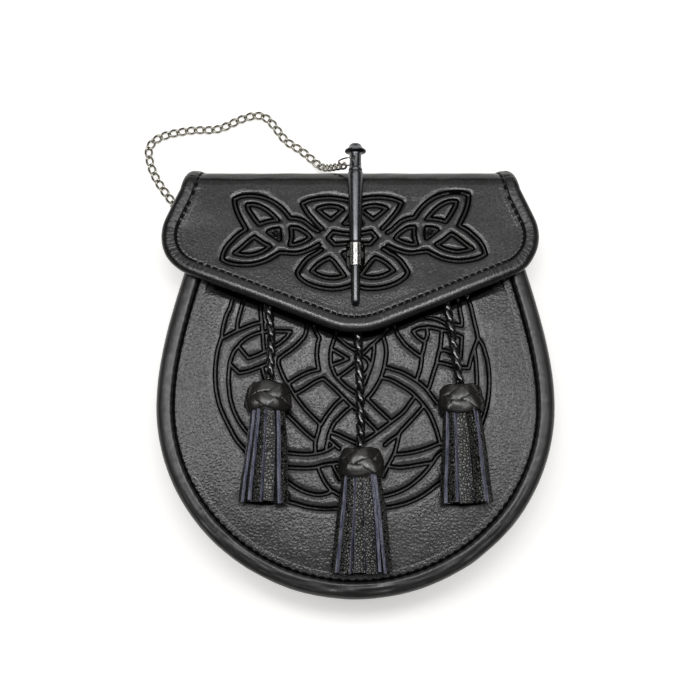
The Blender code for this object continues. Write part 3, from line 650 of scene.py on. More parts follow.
def metal_finish(name, colour, rough, brushed):
    """Polished metal with handling marks: noise changes its gloss and its shade a little."""
    metal = Finish(name, colour, rough, metallic=1.0)
    marks = metal.noise(brushed, 4.0)
    metal.feed("Base Color", metal.tint(metal.noise(6.0, 2.0), tuple(0.82 * c for c in colour), colour))
    metal.feed("Roughness", metal.remap(marks, 0.3, 0.75, rough, rough + 0.14))
    metal.raise_bump((marks, 0.012, 0.35))
    return metal.material


def thread_finish():
    """Black waxed thread with an uneven surface."""
    thread = Finish("stitch_thread", (0.005, 0.005, 0.005), 0.5)
    thread.feed("Specular IOR Level", 0.04)
    twist = thread.noise(0.3, 2.0)
    thread.feed("Base Color", thread.tint(twist, (0.003, 0.003, 0.003), (0.008, 0.008, 0.008)))
    thread.raise_bump((twist, 0.05, 0.8))
    return thread.material


FRONT_GROOVE = (0.45, 1.2)  # distances from a groove's middle line where its floor ends and its wall ends
FLAP_GROOVE = (0.46, 1.42)
FRONT_LEATHER = grained_leather(
    "front_leather", 1.9, (0.009, 0.0088, 0.009), (0.022, 0.0215, 0.0215), (0.25, 0.32), depth=0.11,
    groove=FRONT_GROOVE, dull=0.55, pebbled=0.6,
)
FLAP_LEATHER = grained_leather(
    "flap_leather", 1.7, (0.008, 0.0075, 0.0075), (0.018, 0.0173, 0.017), (0.21, 0.27), depth=0.07,
    groove=FLAP_GROOVE, dull=0.6, pebbled=0.25,
)
PLAIN_LEATHER = grained_leather(
    "plain_leather", 1.6, (0.008, 0.0078, 0.008), (0.024, 0.0235, 0.0235), (0.36, 0.46)
)
EDGE_LEATHER = smooth_leather(
    "binding_leather", (0.008, 0.0078, 0.008), (0.016, 0.0155, 0.0155), (0.24, 0.34), 0.2, sheen_range=(0.4, 1.0)
)
KNOT_LEATHER = smooth_leather(
    "knot_leather", (0.010, 0.0092, 0.0087), (0.022, 0.0198, 0.0185), (0.19, 0.30), 0.08
)
RIM_LEATHER = smooth_leather(
    "rim_leather", (0.020, 0.0195, 0.0195), (0.030, 0.029, 0.029), (0.28, 0.38), 0.12, sheen_range=(0.3, 0.5)
)
THONG_LEATHER = thong_finish()
FRINGE_LEATHER = fringe_finish()
DARK_CHROME = metal_finish("dark_chrome", (0.13, 0.133, 0.14), 0.26, 0.9)
BRIGHT_NICKEL = metal_finish("bright_nickel", (0.75, 0.74, 0.70), 0.16, 0.8)
CHAIN_NICKEL = metal_finish("chain_nickel", (0.43, 0.415, 0.36), 0.22, 0.8)
THREAD = thread_finish()

# The stage, in metres: half the floor's side, how far it lies under the pouch, and the surround's strength
FLOOR_HALF = 8.0
FLOOR_DROP = 0.00005
SKY_STRENGTH = 0.035
# Soft lights turned towards the pouch: place and size in metres, power in watts
LIGHTS = {
    "softbox_left": ((-0.50, 0.22, 1.12), (0.56, 0.34), 3.9),
    "softbox_right": ((0.50, 0.18, 1.13), (0.50, 0.34), 2.8),
    "softbox_over": ((0.0, 0.24, 1.22), (0.46, 0.26), 4.0),
    "softbox_back": ((0.10, 0.72, 0.97), (0.90, 0.46), 1.7),
    "softbox_behind": ((0.0, 1.10, 0.62), (1.0, 0.56), 1.0),
    "softbox_front": ((0.05, -0.30, 1.18), (0.80, 0.20), 0.6),
}


def make_stage():
    """The pale paper floor, which glows a little."""
    paper = Finish("floor_paper", (0.86, 0.855, 0.84), 0.9)
    paper.feed("Specular IOR Level", 0.1)
    paper.feed("Emission Color", (1.0, 0.99, 0.97))
    paper.feed("Emission Strength", 0.5)
    mesh = bpy.data.meshes.new("floor")
    corners = [(-1, -1), (1, -1), (1, 1), (-1, 1)]
    mesh.from_pydata([(x * FLOOR_HALF, y * FLOOR_HALF, -FLOOR_DROP) for x, y in corners], [], [(0, 1, 2, 3)])
    mesh.materials.append(paper.material)
    floor = bpy.data.objects.new("floor", mesh)
    scene.collection.objects.link(floor)


def make_lights():
    """Rectangular soft lights, each turned towards the pouch, and an even pale surround."""
    for name, (place, size, power) in LIGHTS.items():
        data = bpy.data.lights.new(name, "AREA")
        data.shape = "RECTANGLE"
        data.size, data.size_y = size
        data.energy = power
        light = bpy.data.objects.new(name, data)
        light.location = place
        light.rotation_euler = (Vector() - Vector(place)).to_track_quat("-Z", "Y").to_euler()
        scene.collection.objects.link(light)
    world = bpy.data.worlds.new("surround")
    world.use_nodes = True
    background = world.node_tree.nodes["Background"]
    background.inputs["Color"].default_value = (1.0, 1.0, 1.0, 1.0)
    background.inputs["Strength"].default_value = SKY_STRENGTH
    scene.world = world


make_stage()
make_lights()


THONG_TWIST = 12.0  # length of one whole turn of its two strands
STRAND_RADIUS = 1.4
STRAND_OUT = 1.15  # from the thong's middle line to a strand's
STRAND_SHAPE = np.array([0.86, 1.1])  # a strand is flattened towards the other one
TWIST_SLIP = (0.5, 5.0)  # angle by which the twist runs ahead and behind, and mm for each radian of that wave
STRAND_SWELL = (0.07, 1.7)  # share by which a strand's thickness changes, and by what angle a mm


def make_thong(tassel):
    """Two waxed strands twisted round each other, from under the flap over the front to the knot's top: each
    is a flattened circle carried along a helix about the route, half a turn apart."""
    knot_top, waist, _ = tassel_points(tassel)
    route = [lying_point(*point, THONG_RADIUS + 2 * GAP) for point in TASSELS[tassel]["thong"]]
    route = spline(route + [knot_top - unit(waist - knot_top) * GAP], 150)
    run = run_along(route)
    along = tangents(route)
    side = unit(np.cross(along, (0.0, 0.0, 1.0)))
    up = np.cross(side, along)
    parts = []
    for strand in (0.0, math.pi):
        turn = 2 * math.pi * run / THONG_TWIST + strand + TWIST_SLIP[0] * np.sin(run / TWIST_SLIP[1] + strand)
        out = side * np.cos(turn)[:, None] + up * np.sin(turn)[:, None]
        middle = route + out * STRAND_OUT
        tangent = tangents(middle)
        across = square_to(tangent, out)
        fat = 1.0 + STRAND_SWELL[0] * np.sin(run * STRAND_SWELL[1] + strand)[:, None, None]
        section = round_section(STRAND_RADIUS, 16) * STRAND_SHAPE * fat
        parts.append(carried(middle, across, np.cross(tangent, across), section))
    thong = make_piece(
        f"twisted_thong_{tassel}", *join_parts(parts), THONG_LEATHER, "thong_leather",
        (f"tassel_thong_{tassel}",)
    )
    return thong, route, run[-1]


BAND_HALF = 3.05  # half the width of a knot's plaited band
BAND_THICK = 0.85
BAND_DOME = 0.035  # how much the band's outer face sinks towards its sides, times the square of the way out
BAND_TURNS, BAND_SWINGS = 3, 4
BAND_SWING = 0.31  # how far the band swings up and down, as a share of the knot's length
BAND_RIDE, BAND_CROSSING = -0.2, 0.40  # its middle height, and how far it goes over and under itself
CORE_SINK = -1.1  # how far the barrel inside the bands lies under the knot's surface
# Width of a knot at shares of its length: round at the top and widest near its foot
KNOT_PROFILE = [
    (-0.02, 0.42), (0.04, 0.60), (0.08, 0.69), (0.15, 0.79), (0.28, 0.88), (0.47, 0.95), (0.75, 1.0),
    (0.92, 0.96), (1.0, 0.90),
]


def knot_surface(tassel, turn, height, out):
    """Points on a knot's barrel: an oval in the head's own frame, widened by the barrel's share and by
    out."""
    top, waist, _ = tassel_points(tassel)
    along, across, up = frame_along(top, waist)
    wide = np.interp(height, *zip(*KNOT_PROFILE))
    x = (KNOT_HALF * wide + out) * np.cos(turn)
    z = (KNOT_DEPTH * wide + out) * np.sin(turn)
    return top + along * (height * KNOT_LENGTH)[..., None] + across * x[..., None] + up * z[..., None]


def knot_band(tassel):
    """One flat band plaited round the barrel: BAND_TURNS times round while it swings BAND_SWINGS times
    between the head's top and foot, over and under itself at each crossing. Its section is a bar with a
    domed outer face."""
    share = turns(600)
    turn = math.pi / 2 + BAND_TURNS * share + TASSELS[tassel]["knot_turn"]
    height = 0.5 + BAND_SWING * np.cos(BAND_SWINGS * share + math.pi)
    ride = BAND_RIDE - BAND_CROSSING * np.sin(2 * BAND_SWINGS * share)
    middle = knot_surface(tassel, turn, height, ride)
    around = knot_surface(tassel, turn + 0.02, height, ride) - middle
    lengthways = knot_surface(tassel, turn, height + 0.02, ride) - middle
    outward = unit(np.cross(lengthways, around))
    outward *= np.sign(np.sum(outward * (middle - middle.mean(0)), axis=1, keepdims=True))
    section = soft_bar_section(BAND_HALF, BAND_THICK / 2, 20, 0.5)
    section[:, 1] -= BAND_DOME * section[:, 0] ** 2
    across = unit(np.cross(tangents(middle, closed=True), outward))
    return carried(middle, across, outward, section, closed=True)


def make_knot(tassel):
    """The plaited head: its band over a plain barrel."""
    core = knot_surface(tassel, turns(40), np.linspace(0.0, 1.0, 15)[:, None], CORE_SINK)
    parts = [(core, tube_faces(*core.shape[:2])), knot_band(tassel)]
    return make_piece(
        f"woven_knot_{tassel}", *join_parts(parts), KNOT_LEATHER, "binding_leather",
        (f"tassel_knot_{tassel}",),
        sharp=60,
    )


# Strips of a fringe, front row: place across (share of the half width at the end), turn about its length
# (degrees), face width and thickness (mm), extra length (mm)
FRINGES = {
    "left": [
        (-0.94, -42, 4.4, 1.5, 0.3), (-0.66, 70, 4.6, 1.9, 0.6), (-0.22, -8, 4.8, 1.8, -0.5),
        (0.28, 34, 5.0, 2.0, 0.2), (0.66, 66, 4.4, 1.8, -0.4), (0.96, 72, 4.2, 1.6, 0.5),
    ],
    "middle": [
        (-0.97, -42, 4.4, 1.5, -0.4), (-0.80, 76, 4.2, 1.5, 0.2), (-0.63, 78, 4.2, 1.6, -0.5),
        (-0.34, -9, 5.0, 1.8, 0.3), (0.07, -10, 5.2, 1.8, -0.2), (0.56, 34, 5.6, 2.2, 0.4),
        (0.95, 60, 4.4, 2.1, -0.3),
    ],
    "right": [
        (-0.97, -56, 4.2, 1.5, 0.4), (-0.58, 36, 5.8, 2.2, -0.3), (0.06, -8, 6.0, 1.8, 0.3),
        (0.60, 42, 5.4, 2.2, -0.5), (0.96, 64, 4.2, 1.9, -0.2),
    ],
}
STRIP_STEPS = 46
STRIP_HIDDEN = 3.0  # how far a strip reaches up into the knot
STRIP_MARGIN = 1.4  # from a fringe's half depth in to where its strips' middle lines run
STRIP_MARGIN_SIDE = 1.6
CUT_SIDE = 0.35  # how far a strip's cut side, with its rounded corners, stands out past its face
STRIP_WANDER, STRIP_RISE, STRIP_CURL = 0.5, 0.35, 10.0  # mm sideways, mm up and degrees at a strip's end
FRONT_LIFT = 0.95  # how high the front row lies, as a share of the fringe's half depth
BACK_STRIP = (4.9, 1.5)  # width and thickness of the strips behind the front row
BACK_SPREAD = 0.8
BACK_LIFTS = (0.05, -0.8)  # of the two rows behind, the second one following the oval's lower side


def strip_section(half_thick):
    """Corner points of a strip's section about its two ends: a cut side with slightly rounded corners. The
    first coordinate is out past the face's end and the second through the thickness."""
    t = half_thick
    right = [(0.10, t), (0.26, t - 0.05), (CUT_SIDE, t - 0.2), (CUT_SIDE, 0.0), (CUT_SIDE, -t + 0.2),
             (0.26, -t + 0.05), (0.10, -t)]
    left = [(-x, z) for x, z in right[::-1]]
    return np.array([(0.0, t), *right, (0.0, -t), *left])


def fringe_strip(tassel, place, lift, angle, wide, thick, extra, seed):
    """One hanging strip: a rounded bar carried from the knot to its end, spreading with the skirt, with a
    slow curl; its cut attribute is 1 on the narrow sides."""
    row = TASSELS[tassel]
    _, waist, end = tassel_points(tassel)
    along, across, up = frame_along(waist, end)
    share = np.linspace(0, 1, STRIP_STEPS)
    length = np.linalg.norm(end - waist) + extra
    top, foot = row["half_top"] - STRIP_MARGIN_SIDE, row["half_end"] - STRIP_MARGIN_SIDE
    spread = place * (top + (foot - top) * share ** 0.9)
    wander = STRIP_WANDER * rumple(share * 2.5, seed, 71) * share
    top, foot = FRINGE_DEPTH_TOP - STRIP_MARGIN, FRINGE_DEPTH_END - STRIP_MARGIN
    rise = lift * (top + (foot - top) * share) + STRIP_RISE * rumple(share * 3.0, seed, 72) * share
    middle = waist - along * STRIP_HIDDEN + along * (share * (length + STRIP_HIDDEN))[:, None]
    middle = middle + across * (spread + wander)[:, None] + up * rise[:, None]
    tilt = np.radians(angle + STRIP_CURL * rumple(share * 2.0, seed, 73) * share)
    face = across * np.cos(tilt)[:, None] - up * np.sin(tilt)[:, None]
    normal = across * np.sin(tilt)[:, None] + up * np.cos(tilt)[:, None]
    narrow = smooth_step(share, 0.0, 0.35)[:, None] * 0.28 + 0.72
    out, through = strip_section(thick / 2).T
    section_x = out + np.sign(out) * (wide / 2 * narrow - CUT_SIDE)
    section = np.stack([section_x, np.broadcast_to(through, section_x.shape)], -1)
    cut = np.broadcast_to(np.abs(out) > 0.12, section_x.shape).astype(float)
    return carried(middle, face, normal, section), cut.ravel()


def make_fringe(tassel):
    """The skirt: a front row of strips at the listed places and turns, and plain rows behind it."""
    strips = []
    for number, (place, *form) in enumerate(FRINGES[tassel]):
        lift = math.sqrt(max(0.0, 1.05 - place * place)) * FRONT_LIFT
        strips.append(fringe_strip(tassel, place, lift, *form, number))
    back = len(FRINGES[tassel])
    for number in range(back):
        place = -BACK_SPREAD + 2 * BACK_SPREAD * number / (back - 1)
        for layer, lift in ((1, BACK_LIFTS[0]), (2, BACK_LIFTS[1] * math.sqrt(1.0 - place * place))):
            extra = -0.6 + 0.7 * math.sin(5.0 * number + layer)
            angle = 8.0 * math.sin(3.0 * number + layer) + (0 if layer == 1 else 180)
            strips.append(fringe_strip(tassel, place, lift, angle, *BACK_STRIP, extra, 10 * layer + number))
    points, blocks = join_parts([part for part, _ in strips])
    return make_piece(
        f"fringe_{tassel}", points, blocks, FRINGE_LEATHER, "fringe_leather", (f"tassel_fringe_{tassel}",),
        {"cut": np.concatenate([cut for _, cut in strips])}, 40,
    )


def make_tassels():
    """Thong, knot and fringe of each tassel."""
    thongs = [make_thong(tassel) for tassel in TASSELS]
    for tassel, (thong, route, length) in zip(TASSELS, thongs):
        pieces = [make_knot(tassel), make_fringe(tassel)]


make_tassels()


# Knotwork pressed into the leather: the middle lines of its grooves, as they were read off the
# photograph. The flap's two drawings are in the units of enlarged views: origin (pixels) and enlargement.
SIDE_VIEW = (220.0, 185.0, 14.286)
CENTRE_VIEW = (300.0, 185.0, 13.64)
FLAP_SIDE_GROOVES = [
    # left knot of the flap; the right one mirrors it
    [(205, 200), (300, 162), (400, 148), (500, 152), (600, 172), (700, 208), (800, 265), (880, 328),
     (945, 398), (1000, 470)],
    [(205, 200), (218, 300), (250, 395), (292, 485), (335, 560), (372, 630)],
    [(1000, 470), (1090, 478), (1180, 505), (1260, 560), (1330, 620), (1400, 655)],
    [(372, 630), (265, 700), (180, 780), (100, 870), (50, 960), (25, 1062)],
    [(25, 1062), (100, 1100), (200, 1125), (320, 1137), (430, 1135), (550, 1112), (660, 1075), (760, 1020),
     (850, 965)],
    [(850, 965), (950, 968), (1050, 975), (1150, 965), (1250, 930), (1330, 893), (1410, 850)],
    [(388, 285), (450, 276), (540, 290), (640, 338), (720, 398), (780, 455), (822, 502)],
    [(822, 502), (740, 508), (650, 528), (560, 560)],
    [(560, 560), (500, 490), (445, 410), (405, 345), (388, 285)],
    [(690, 668), (760, 640), (838, 628)],
    [(838, 628), (850, 700), (845, 775)],
    [(845, 775), (770, 725), (690, 668)],
    [(1012, 608), (1100, 612), (1190, 655), (1250, 698), (1288, 745)],
    [(1288, 745), (1230, 788), (1150, 825), (1060, 850), (1000, 850)],
    [(1000, 850), (1020, 760), (1022, 680), (1012, 608)],
    [(490, 740), (420, 790), (330, 870), (250, 940), (210, 970)],
    [(210, 970), (300, 990), (430, 998), (560, 965), (650, 920), (710, 873)],
    [(710, 873), (620, 828), (550, 780), (490, 740)],
]
FLAP_CENTRE_GROOVES = [
    # left half of the middle knot of the flap
    [(35, 242), (120, 205), (200, 185), (300, 172), (400, 170), (500, 178), (600, 195), (713, 222)],
    [(35, 242), (65, 305), (110, 380), (170, 450), (230, 520), (300, 590)],
    [(290, 872), (220, 920), (130, 970), (55, 1040), (5, 1110), (-35, 1180), (-20, 1240), (60, 1310),
     (160, 1360), (280, 1395), (400, 1412), (520, 1410), (620, 1390), (713, 1362)],
    [(245, 322), (330, 292), (420, 283), (510, 295), (588, 332)],
    [(588, 332), (510, 400), (425, 468)],
    [(425, 468), (330, 400), (245, 322)],
    [(605, 520), (655, 465), (713, 420)],
    [(605, 520), (713, 520)],
    [(385, 715), (455, 635)],
    [(455, 635), (560, 655), (713, 672)],
    [(385, 715), (470, 805)],
    [(470, 805), (560, 800), (713, 785)],
    [(400, 990), (450, 1030), (520, 1120), (600, 1230)],
    [(600, 1230), (500, 1258), (380, 1258), (260, 1225), (155, 1165)],
    [(155, 1165), (220, 1095), (310, 1030), (400, 990)],
    [(590, 930), (650, 915), (713, 880)],
    [(590, 930), (650, 1030), (713, 1130)],
]
FRONT_LEFT_GROOVES = [
    # left half of the front, in pixels
    [(232.1, 300), (230, 307.5), (226.5, 314.5), (224.4, 321.5), (222.6, 329.2), (221.8, 336),
     (219.8, 342.5), (217.6, 350), (216, 360), (215.2, 370.5), (215.3, 381), (216, 389), (217.4, 397),
     (219.8, 406.4), (224.6, 417.6), (229.4, 427.2), (235, 437.6), (239.8, 444), (246, 451), (256, 464),
     (266, 476), (278, 487), (289, 502)],
    [(243.4, 300), (239.8, 313), (237.7, 321.5), (237, 330)],
    [(222.3, 338.3), (230, 334.1), (237, 330.6), (244, 327.8), (251, 325), (258, 322.9), (262.2, 322.2)],
    [(260, 306), (261.5, 321.5), (262.5, 332), (263.3, 342.5), (264, 351.2)],
    [(290.5, 331.5), (281.8, 331.2), (272.4, 331.2), (262.2, 332), (254.5, 334.1), (247.5, 337.6),
     (241.9, 341.8), (238.4, 346), (234.2, 350.9), (231.4, 357.2), (229.7, 363.5), (229, 370.5),
     (228.4, 381), (229, 388.5), (230.2, 398.4), (233.4, 409.6), (238.2, 420), (243, 427.2), (249, 434),
     (262, 444), (275, 450), (289.3, 453)],
    [(290.5, 331.5), (286.2, 337.2), (280.2, 342.6), (275.4, 345.6), (264, 352)],
    [(238.8, 346.7), (244, 353), (248.2, 357.9)],
    [(248.2, 357.9), (256.6, 355.1), (264, 351.6)],
    [(230.7, 364.9), (234.2, 368.4), (239.1, 373)],
    [(239.1, 373), (248.2, 371.2), (255.9, 368.4), (262.2, 366), (268, 363.5)],
    [(261.9, 367), (263.6, 374), (266, 382)],
    [(307, 325), (305.4, 334.2), (301.2, 340.2), (295.8, 345.6), (289.8, 350.4), (283.8, 354.6),
     (279, 358.2)],
    [(279, 358.2), (278.4, 363), (280.2, 369), (282.6, 375), (285.6, 381), (288.6, 384.5), (292.2, 390.6),
     (295.8, 396.6), (300, 402.4), (304, 407.5), (309.7, 413.7), (315.3, 419.4), (319.9, 423.9)],
    [(314, 326), (316.2, 332.4), (319.2, 337.8), (318, 342), (317.1, 348.6), (316.8, 355.8), (317.4, 361.8),
     (318.8, 369.6)],
    [(318.8, 369.6), (313.2, 370.8), (306, 373.2), (298.8, 376.8), (292.8, 380.4), (288.6, 383.6)],
    [(294.6, 394.4), (302.4, 390), (309, 385.8), (315.6, 381.6), (323.4, 378.4)],
    [(323.4, 378.4), (328.8, 383.4), (334.8, 388.8), (339.6, 393.6), (344.4, 398.4), (349.8, 403.8),
     (356, 409)],
    [(336, 333), (334.8, 337.2), (332.7, 343.2), (331.2, 348.6), (330.6, 355.8), (330.9, 363), (332.7, 369),
     (335.4, 375), (339.6, 379.8), (345, 385.2), (350.4, 389.4), (356, 393)],
    [(333.3, 349.8), (340, 353.7), (348, 358.6)],
    [(348, 358.6), (341, 361.6), (332.5, 364.6)],
    [(338, 338), (343, 341.8), (348, 345.6), (356, 350.4)],
    [(339, 376.6), (345.6, 372), (352.2, 366.8), (356, 363.5)],
    [(283.5, 411), (292.7, 419.9), (301.7, 429), (309.7, 436.2), (315.5, 440.6)],
    [(319.9, 423.9), (318.7, 430.1), (317, 435.8), (315.4, 442), (315.3, 453)],
    [(341.4, 399), (335.2, 404.6), (330.1, 410.9), (326.1, 416), (322.7, 421.6), (320.5, 425)],
    [(351, 407), (345.4, 411.4), (338.6, 418.2), (334, 423.3), (331.2, 429), (329.2, 434.1), (327.8, 440.3),
     (326.7, 446), (325.8, 450)],
    [(330.2, 432), (338, 434.7), (343.7, 437.5), (352.2, 441.5), (358, 444)],
    [(328.5, 439), (334, 444.3), (339.1, 448.8)],
    [(289.3, 453), (298.3, 453.9), (306.8, 454.2), (315.3, 453.4), (321, 452.2), (326.7, 450.3),
     (333, 446.5)],
    [(280, 467), (290, 467.6), (304, 468.2), (314.5, 467.6), (319.9, 466), (326.7, 464.6), (334, 463.6),
     (340, 463)],
    [(318, 467), (321, 474.5), (325.5, 483), (331.5, 490.8)],
    [(332.5, 464.5), (336.4, 472.2), (340, 479)],
    [(280, 476), (291.9, 484.7), (298.8, 489), (308, 492.9), (318, 494.8), (326.4, 493.5), (332, 491),
     (337.1, 493.7), (345, 498)],
    [(289, 502), (296.5, 503.9), (304.2, 506.2), (315.7, 508.4), (327.2, 509), (336.4, 508.6),
     (350, 508.5)],
]
FRONT_RIGHT_GROOVES = [
    # right half of the front, in pixels
    [(467, 293), (468.6, 299.8), (470.7, 305.4), (472.8, 314.5), (474.9, 323.6), (476.7, 330.6),
     (478, 337.6), (480.5, 341), (483.3, 346), (485.4, 353), (487.4, 360), (488.6, 368), (489.3, 377.5),
     (489.2, 388), (488, 400), (485.6, 411), (482.4, 421), (476, 437), (467, 453), (456, 468), (445, 479),
     (435.2, 486.4), (428, 492), (419.2, 497.6), (408.8, 502.4), (397.6, 505.6), (386.4, 507.6),
     (370, 508.6)],
    [(478, 338.6), (475.2, 346), (472.1, 355.1), (470, 362.8), (468.8, 367.9)],
    [(468.8, 367.9), (460.9, 367.4), (455, 366.6)],
    [(474.4, 349), (475.6, 358), (476.4, 367), (477, 384.5), (476, 398), (471, 418), (462, 434), (450, 446),
     (438.1, 455), (432.8, 462.4)],
    [(458.6, 300), (459.4, 305.4), (460.5, 313.1), (462, 320.8), (461.8, 325.6)],
    [(461.8, 325.6), (457, 324.6), (452, 323.6)],
    [(456, 334), (461.9, 336.8)],
    [(461.9, 336.8), (461.6, 343.2), (461.3, 349.5), (460.5, 358)],
    [(426.6, 317.7), (435, 318.7), (442, 321.5), (447, 324.6)],
    [(426.8, 327.1), (435, 328.2), (442, 329.9), (450, 331.4)],
    [(442, 331), (441.3, 339), (440.6, 346), (439.2, 351.6), (437.8, 357.2), (436.4, 364.2), (433.6, 372.6),
     (431.5, 379.6), (429, 388)],
    [(440.4, 350.4), (444.8, 350.2), (452, 353)],
    [(437.2, 362.6), (443.4, 363.3), (449, 364.9), (456, 367)],
    [(388.4, 328.8), (382.4, 335.4), (375.8, 341.4), (369.8, 346.8), (364.4, 352.2), (358, 358)],
    [(383, 336), (385.4, 343.8), (386.3, 351), (385.9, 357), (385, 363), (384.2, 367.2), (382.7, 372.6),
     (380, 379.8), (376.4, 386.4), (372.8, 391.8), (367, 399)],
    [(374, 345), (373.9, 351), (372.6, 360), (371, 366), (368.6, 372.6), (364.4, 384)],
    [(362, 355.5), (366.5, 358.6), (369.4, 363), (369, 368), (366.2, 372.4), (362, 376)],
    [(395, 326), (397.4, 333.6), (401, 339), (405.2, 344.4), (410.6, 349.2), (416, 353.4), (421, 356.6)],
    [(413, 331.2), (417.2, 336.6), (424.6, 342)],
    [(424.6, 342), (427.6, 334.8), (426.8, 327.6)],
    [(426.8, 327.6), (419, 328.4), (413, 331.2)],
    [(425, 342), (423.8, 348.6), (421.8, 355.8), (421.4, 361.8), (420.2, 369), (416.6, 380)],
    [(384.8, 366.6), (392, 369), (399.8, 371.4), (406.4, 374.4), (412.4, 378), (417.8, 381.4), (422.4, 385),
     (427, 389.6), (431, 395), (437, 403)],
    [(382.4, 378), (389, 379.2), (395.6, 382.2), (401.6, 385.8), (407.6, 389.4), (413, 393.6), (418, 398.6),
     (423, 404.4), (427.3, 409.9), (430.2, 414.6), (433, 420.8), (435.3, 426.9), (437.5, 433.5),
     (439.4, 440.6), (441, 444)],
    [(414.2, 397.6), (409.8, 403.5), (405.8, 409.2), (401.8, 413.4), (397.3, 417.1), (390.6, 422),
     (383.7, 427.3), (378, 431.5), (370.7, 436.7), (362, 442)],
    [(367, 398), (369.5, 400.7), (376.3, 407.5), (383.7, 414.3), (391, 421.4)],
    [(362, 415), (368.4, 422.2), (372.9, 426.7), (377.6, 431.8)],
    [(423.4, 406.4), (418.3, 412.4), (413.2, 418), (407.5, 424.1), (401.8, 430.1), (398.6, 434.4),
     (394.5, 437.5), (389.4, 440.9), (385, 445)],
    [(399, 434.1), (397.9, 440.3), (396.5, 446), (395, 451.7), (392.8, 456.8), (389.4, 463), (386.5, 468.7),
     (383, 476)],
    [(395.6, 454.2), (404.7, 453.6), (413.2, 452.2), (421.7, 450), (430.2, 447.1), (441, 442.5)],
    [(388.6, 466.2), (399, 467.5), (407.5, 466.7), (416, 465.3), (424.5, 463.8), (432.8, 462.4)],
    [(432.8, 462.4), (428.4, 468.4), (422, 475.6), (414.4, 482.4), (406.4, 488), (396, 492.8), (384.8, 496),
     (372, 498)],
]
# How the flap's second side knot and its middle knot are mirrored, turned and shifted, in pixels
SIDE_MIRROR_X = 352.8
SIDE_TURN = math.radians(-4.0)
SIDE_TURN_ABOUT = np.array([429.8, 233.8])
SIDE_SHIFT = np.array([0.0, -1.6])
SIDE_STUDS = np.array([[275.8, 233.8], [429.8, 232.2]])  # the raised dots in the side knots
CENTRE_MIRROR_X = 352.3
CENTRE_TURN = math.radians(-0.6)
CENTRE_TURN_ABOUT = np.array([352.3, 240.0])
LATTICE_STEP = 0.24  # mm between the points where the distance from the grooves is kept
# Half the width of the knotwork and its two ends, along y on the front and along v on the flap
FRONT_WINDOW = (75.0, -67.0, 49.0)
FLAP_WINDOW = (73.0, -1.0, 59.0)
# Depth of the grooves' floors, drop of the leather beside them, and how far out that drop reaches
FRONT_RELIEF = (0.62, 0.26, 1.9)
FLAP_RELIEF = (0.78, 0.30, 1.6)
SHOULDER_START = 0.2  # how far inside the wall's end that drop begins
# Rows of the front: wide steps under the flap, down to the first y, and fine ones over the knotwork
FRONT_HIDDEN_FOOT, FRONT_HIDDEN_STEP = 48.0, 6.0
FRONT_FINE_TOP, FRONT_FINE_FOOT, FRONT_FINE_STEP = 45.5, -60.0, 0.46
FRONT_FOOT_ROWS = 65
# Unevenness of a surface in layers, each (height, width of its swells, seed)
FRONT_SWELLS = ((0.16, 11.0, 11), (0.04, 4.0, 12))
FLAP_SWELLS = ((0.08, 10.0, 22), (0.02, 4.0, 23))
RIM_FREE = (12.0, 20.0)  # from the pouch's outline in, where the front's relief starts and is whole
# Painted shadow on leather beside a piece that lies on it: how much its away value rises, and over which
# distances it does so and becomes plain
CONTACT_RISE, CONTACT_REACH, CONTACT_END = 0.62, (0.3, 3.4), (3.3, 3.5)
FRINGE_OVERLAP = 0.6  # the distance out is counted from this far up under a fringe's end
FRINGE_ROUND = 2.6  # distance added at a fringe's sides, and less towards its middle by a square
FRINGE_UNDER = 4.0  # how far up under the fringe the front gets painted shadow
NEAR = 5.0  # how far from a groove its field is worked out
CREVICE = 0.9  # the away value that paints a crevice's full shade, in the seams and in the painted shadow beside pieces
STROKE_STEP = 1.6  # pixels between the points of a groove's curve


def fold_angle_run():
    """Run of the fold's mid-line, half an ellipse, against its angle: 0 at the front and pi at the tail."""
    angle = np.linspace(0, math.pi, HALF_TURN_STEPS)
    half_height = (FOLD_Z_HIGH - FOLD_Z_LOW) / 2
    step = np.hypot(FOLD_REACH * np.cos(angle), half_height * np.sin(angle))
    return angle, np.concatenate([[0.0], np.cumsum((step[1:] + step[:-1]) / 2 * (angle[1] - angle[0]))])


FOLD_ANGLE, FOLD_RUN = fold_angle_run()
FOLD_LENGTH = FOLD_RUN[-1]
RISE_SLANT = math.hypot(1.0, FLAP_RISE)


def set_over(v):
    """How far the flap sits to the left at v: whole near the fold, none at the tip."""
    return FLAP_SET_OVER * (1.0 - np.clip((v - SET_OVER_UNTIL) / SET_OVER_FADE, 0.0, 1.0))


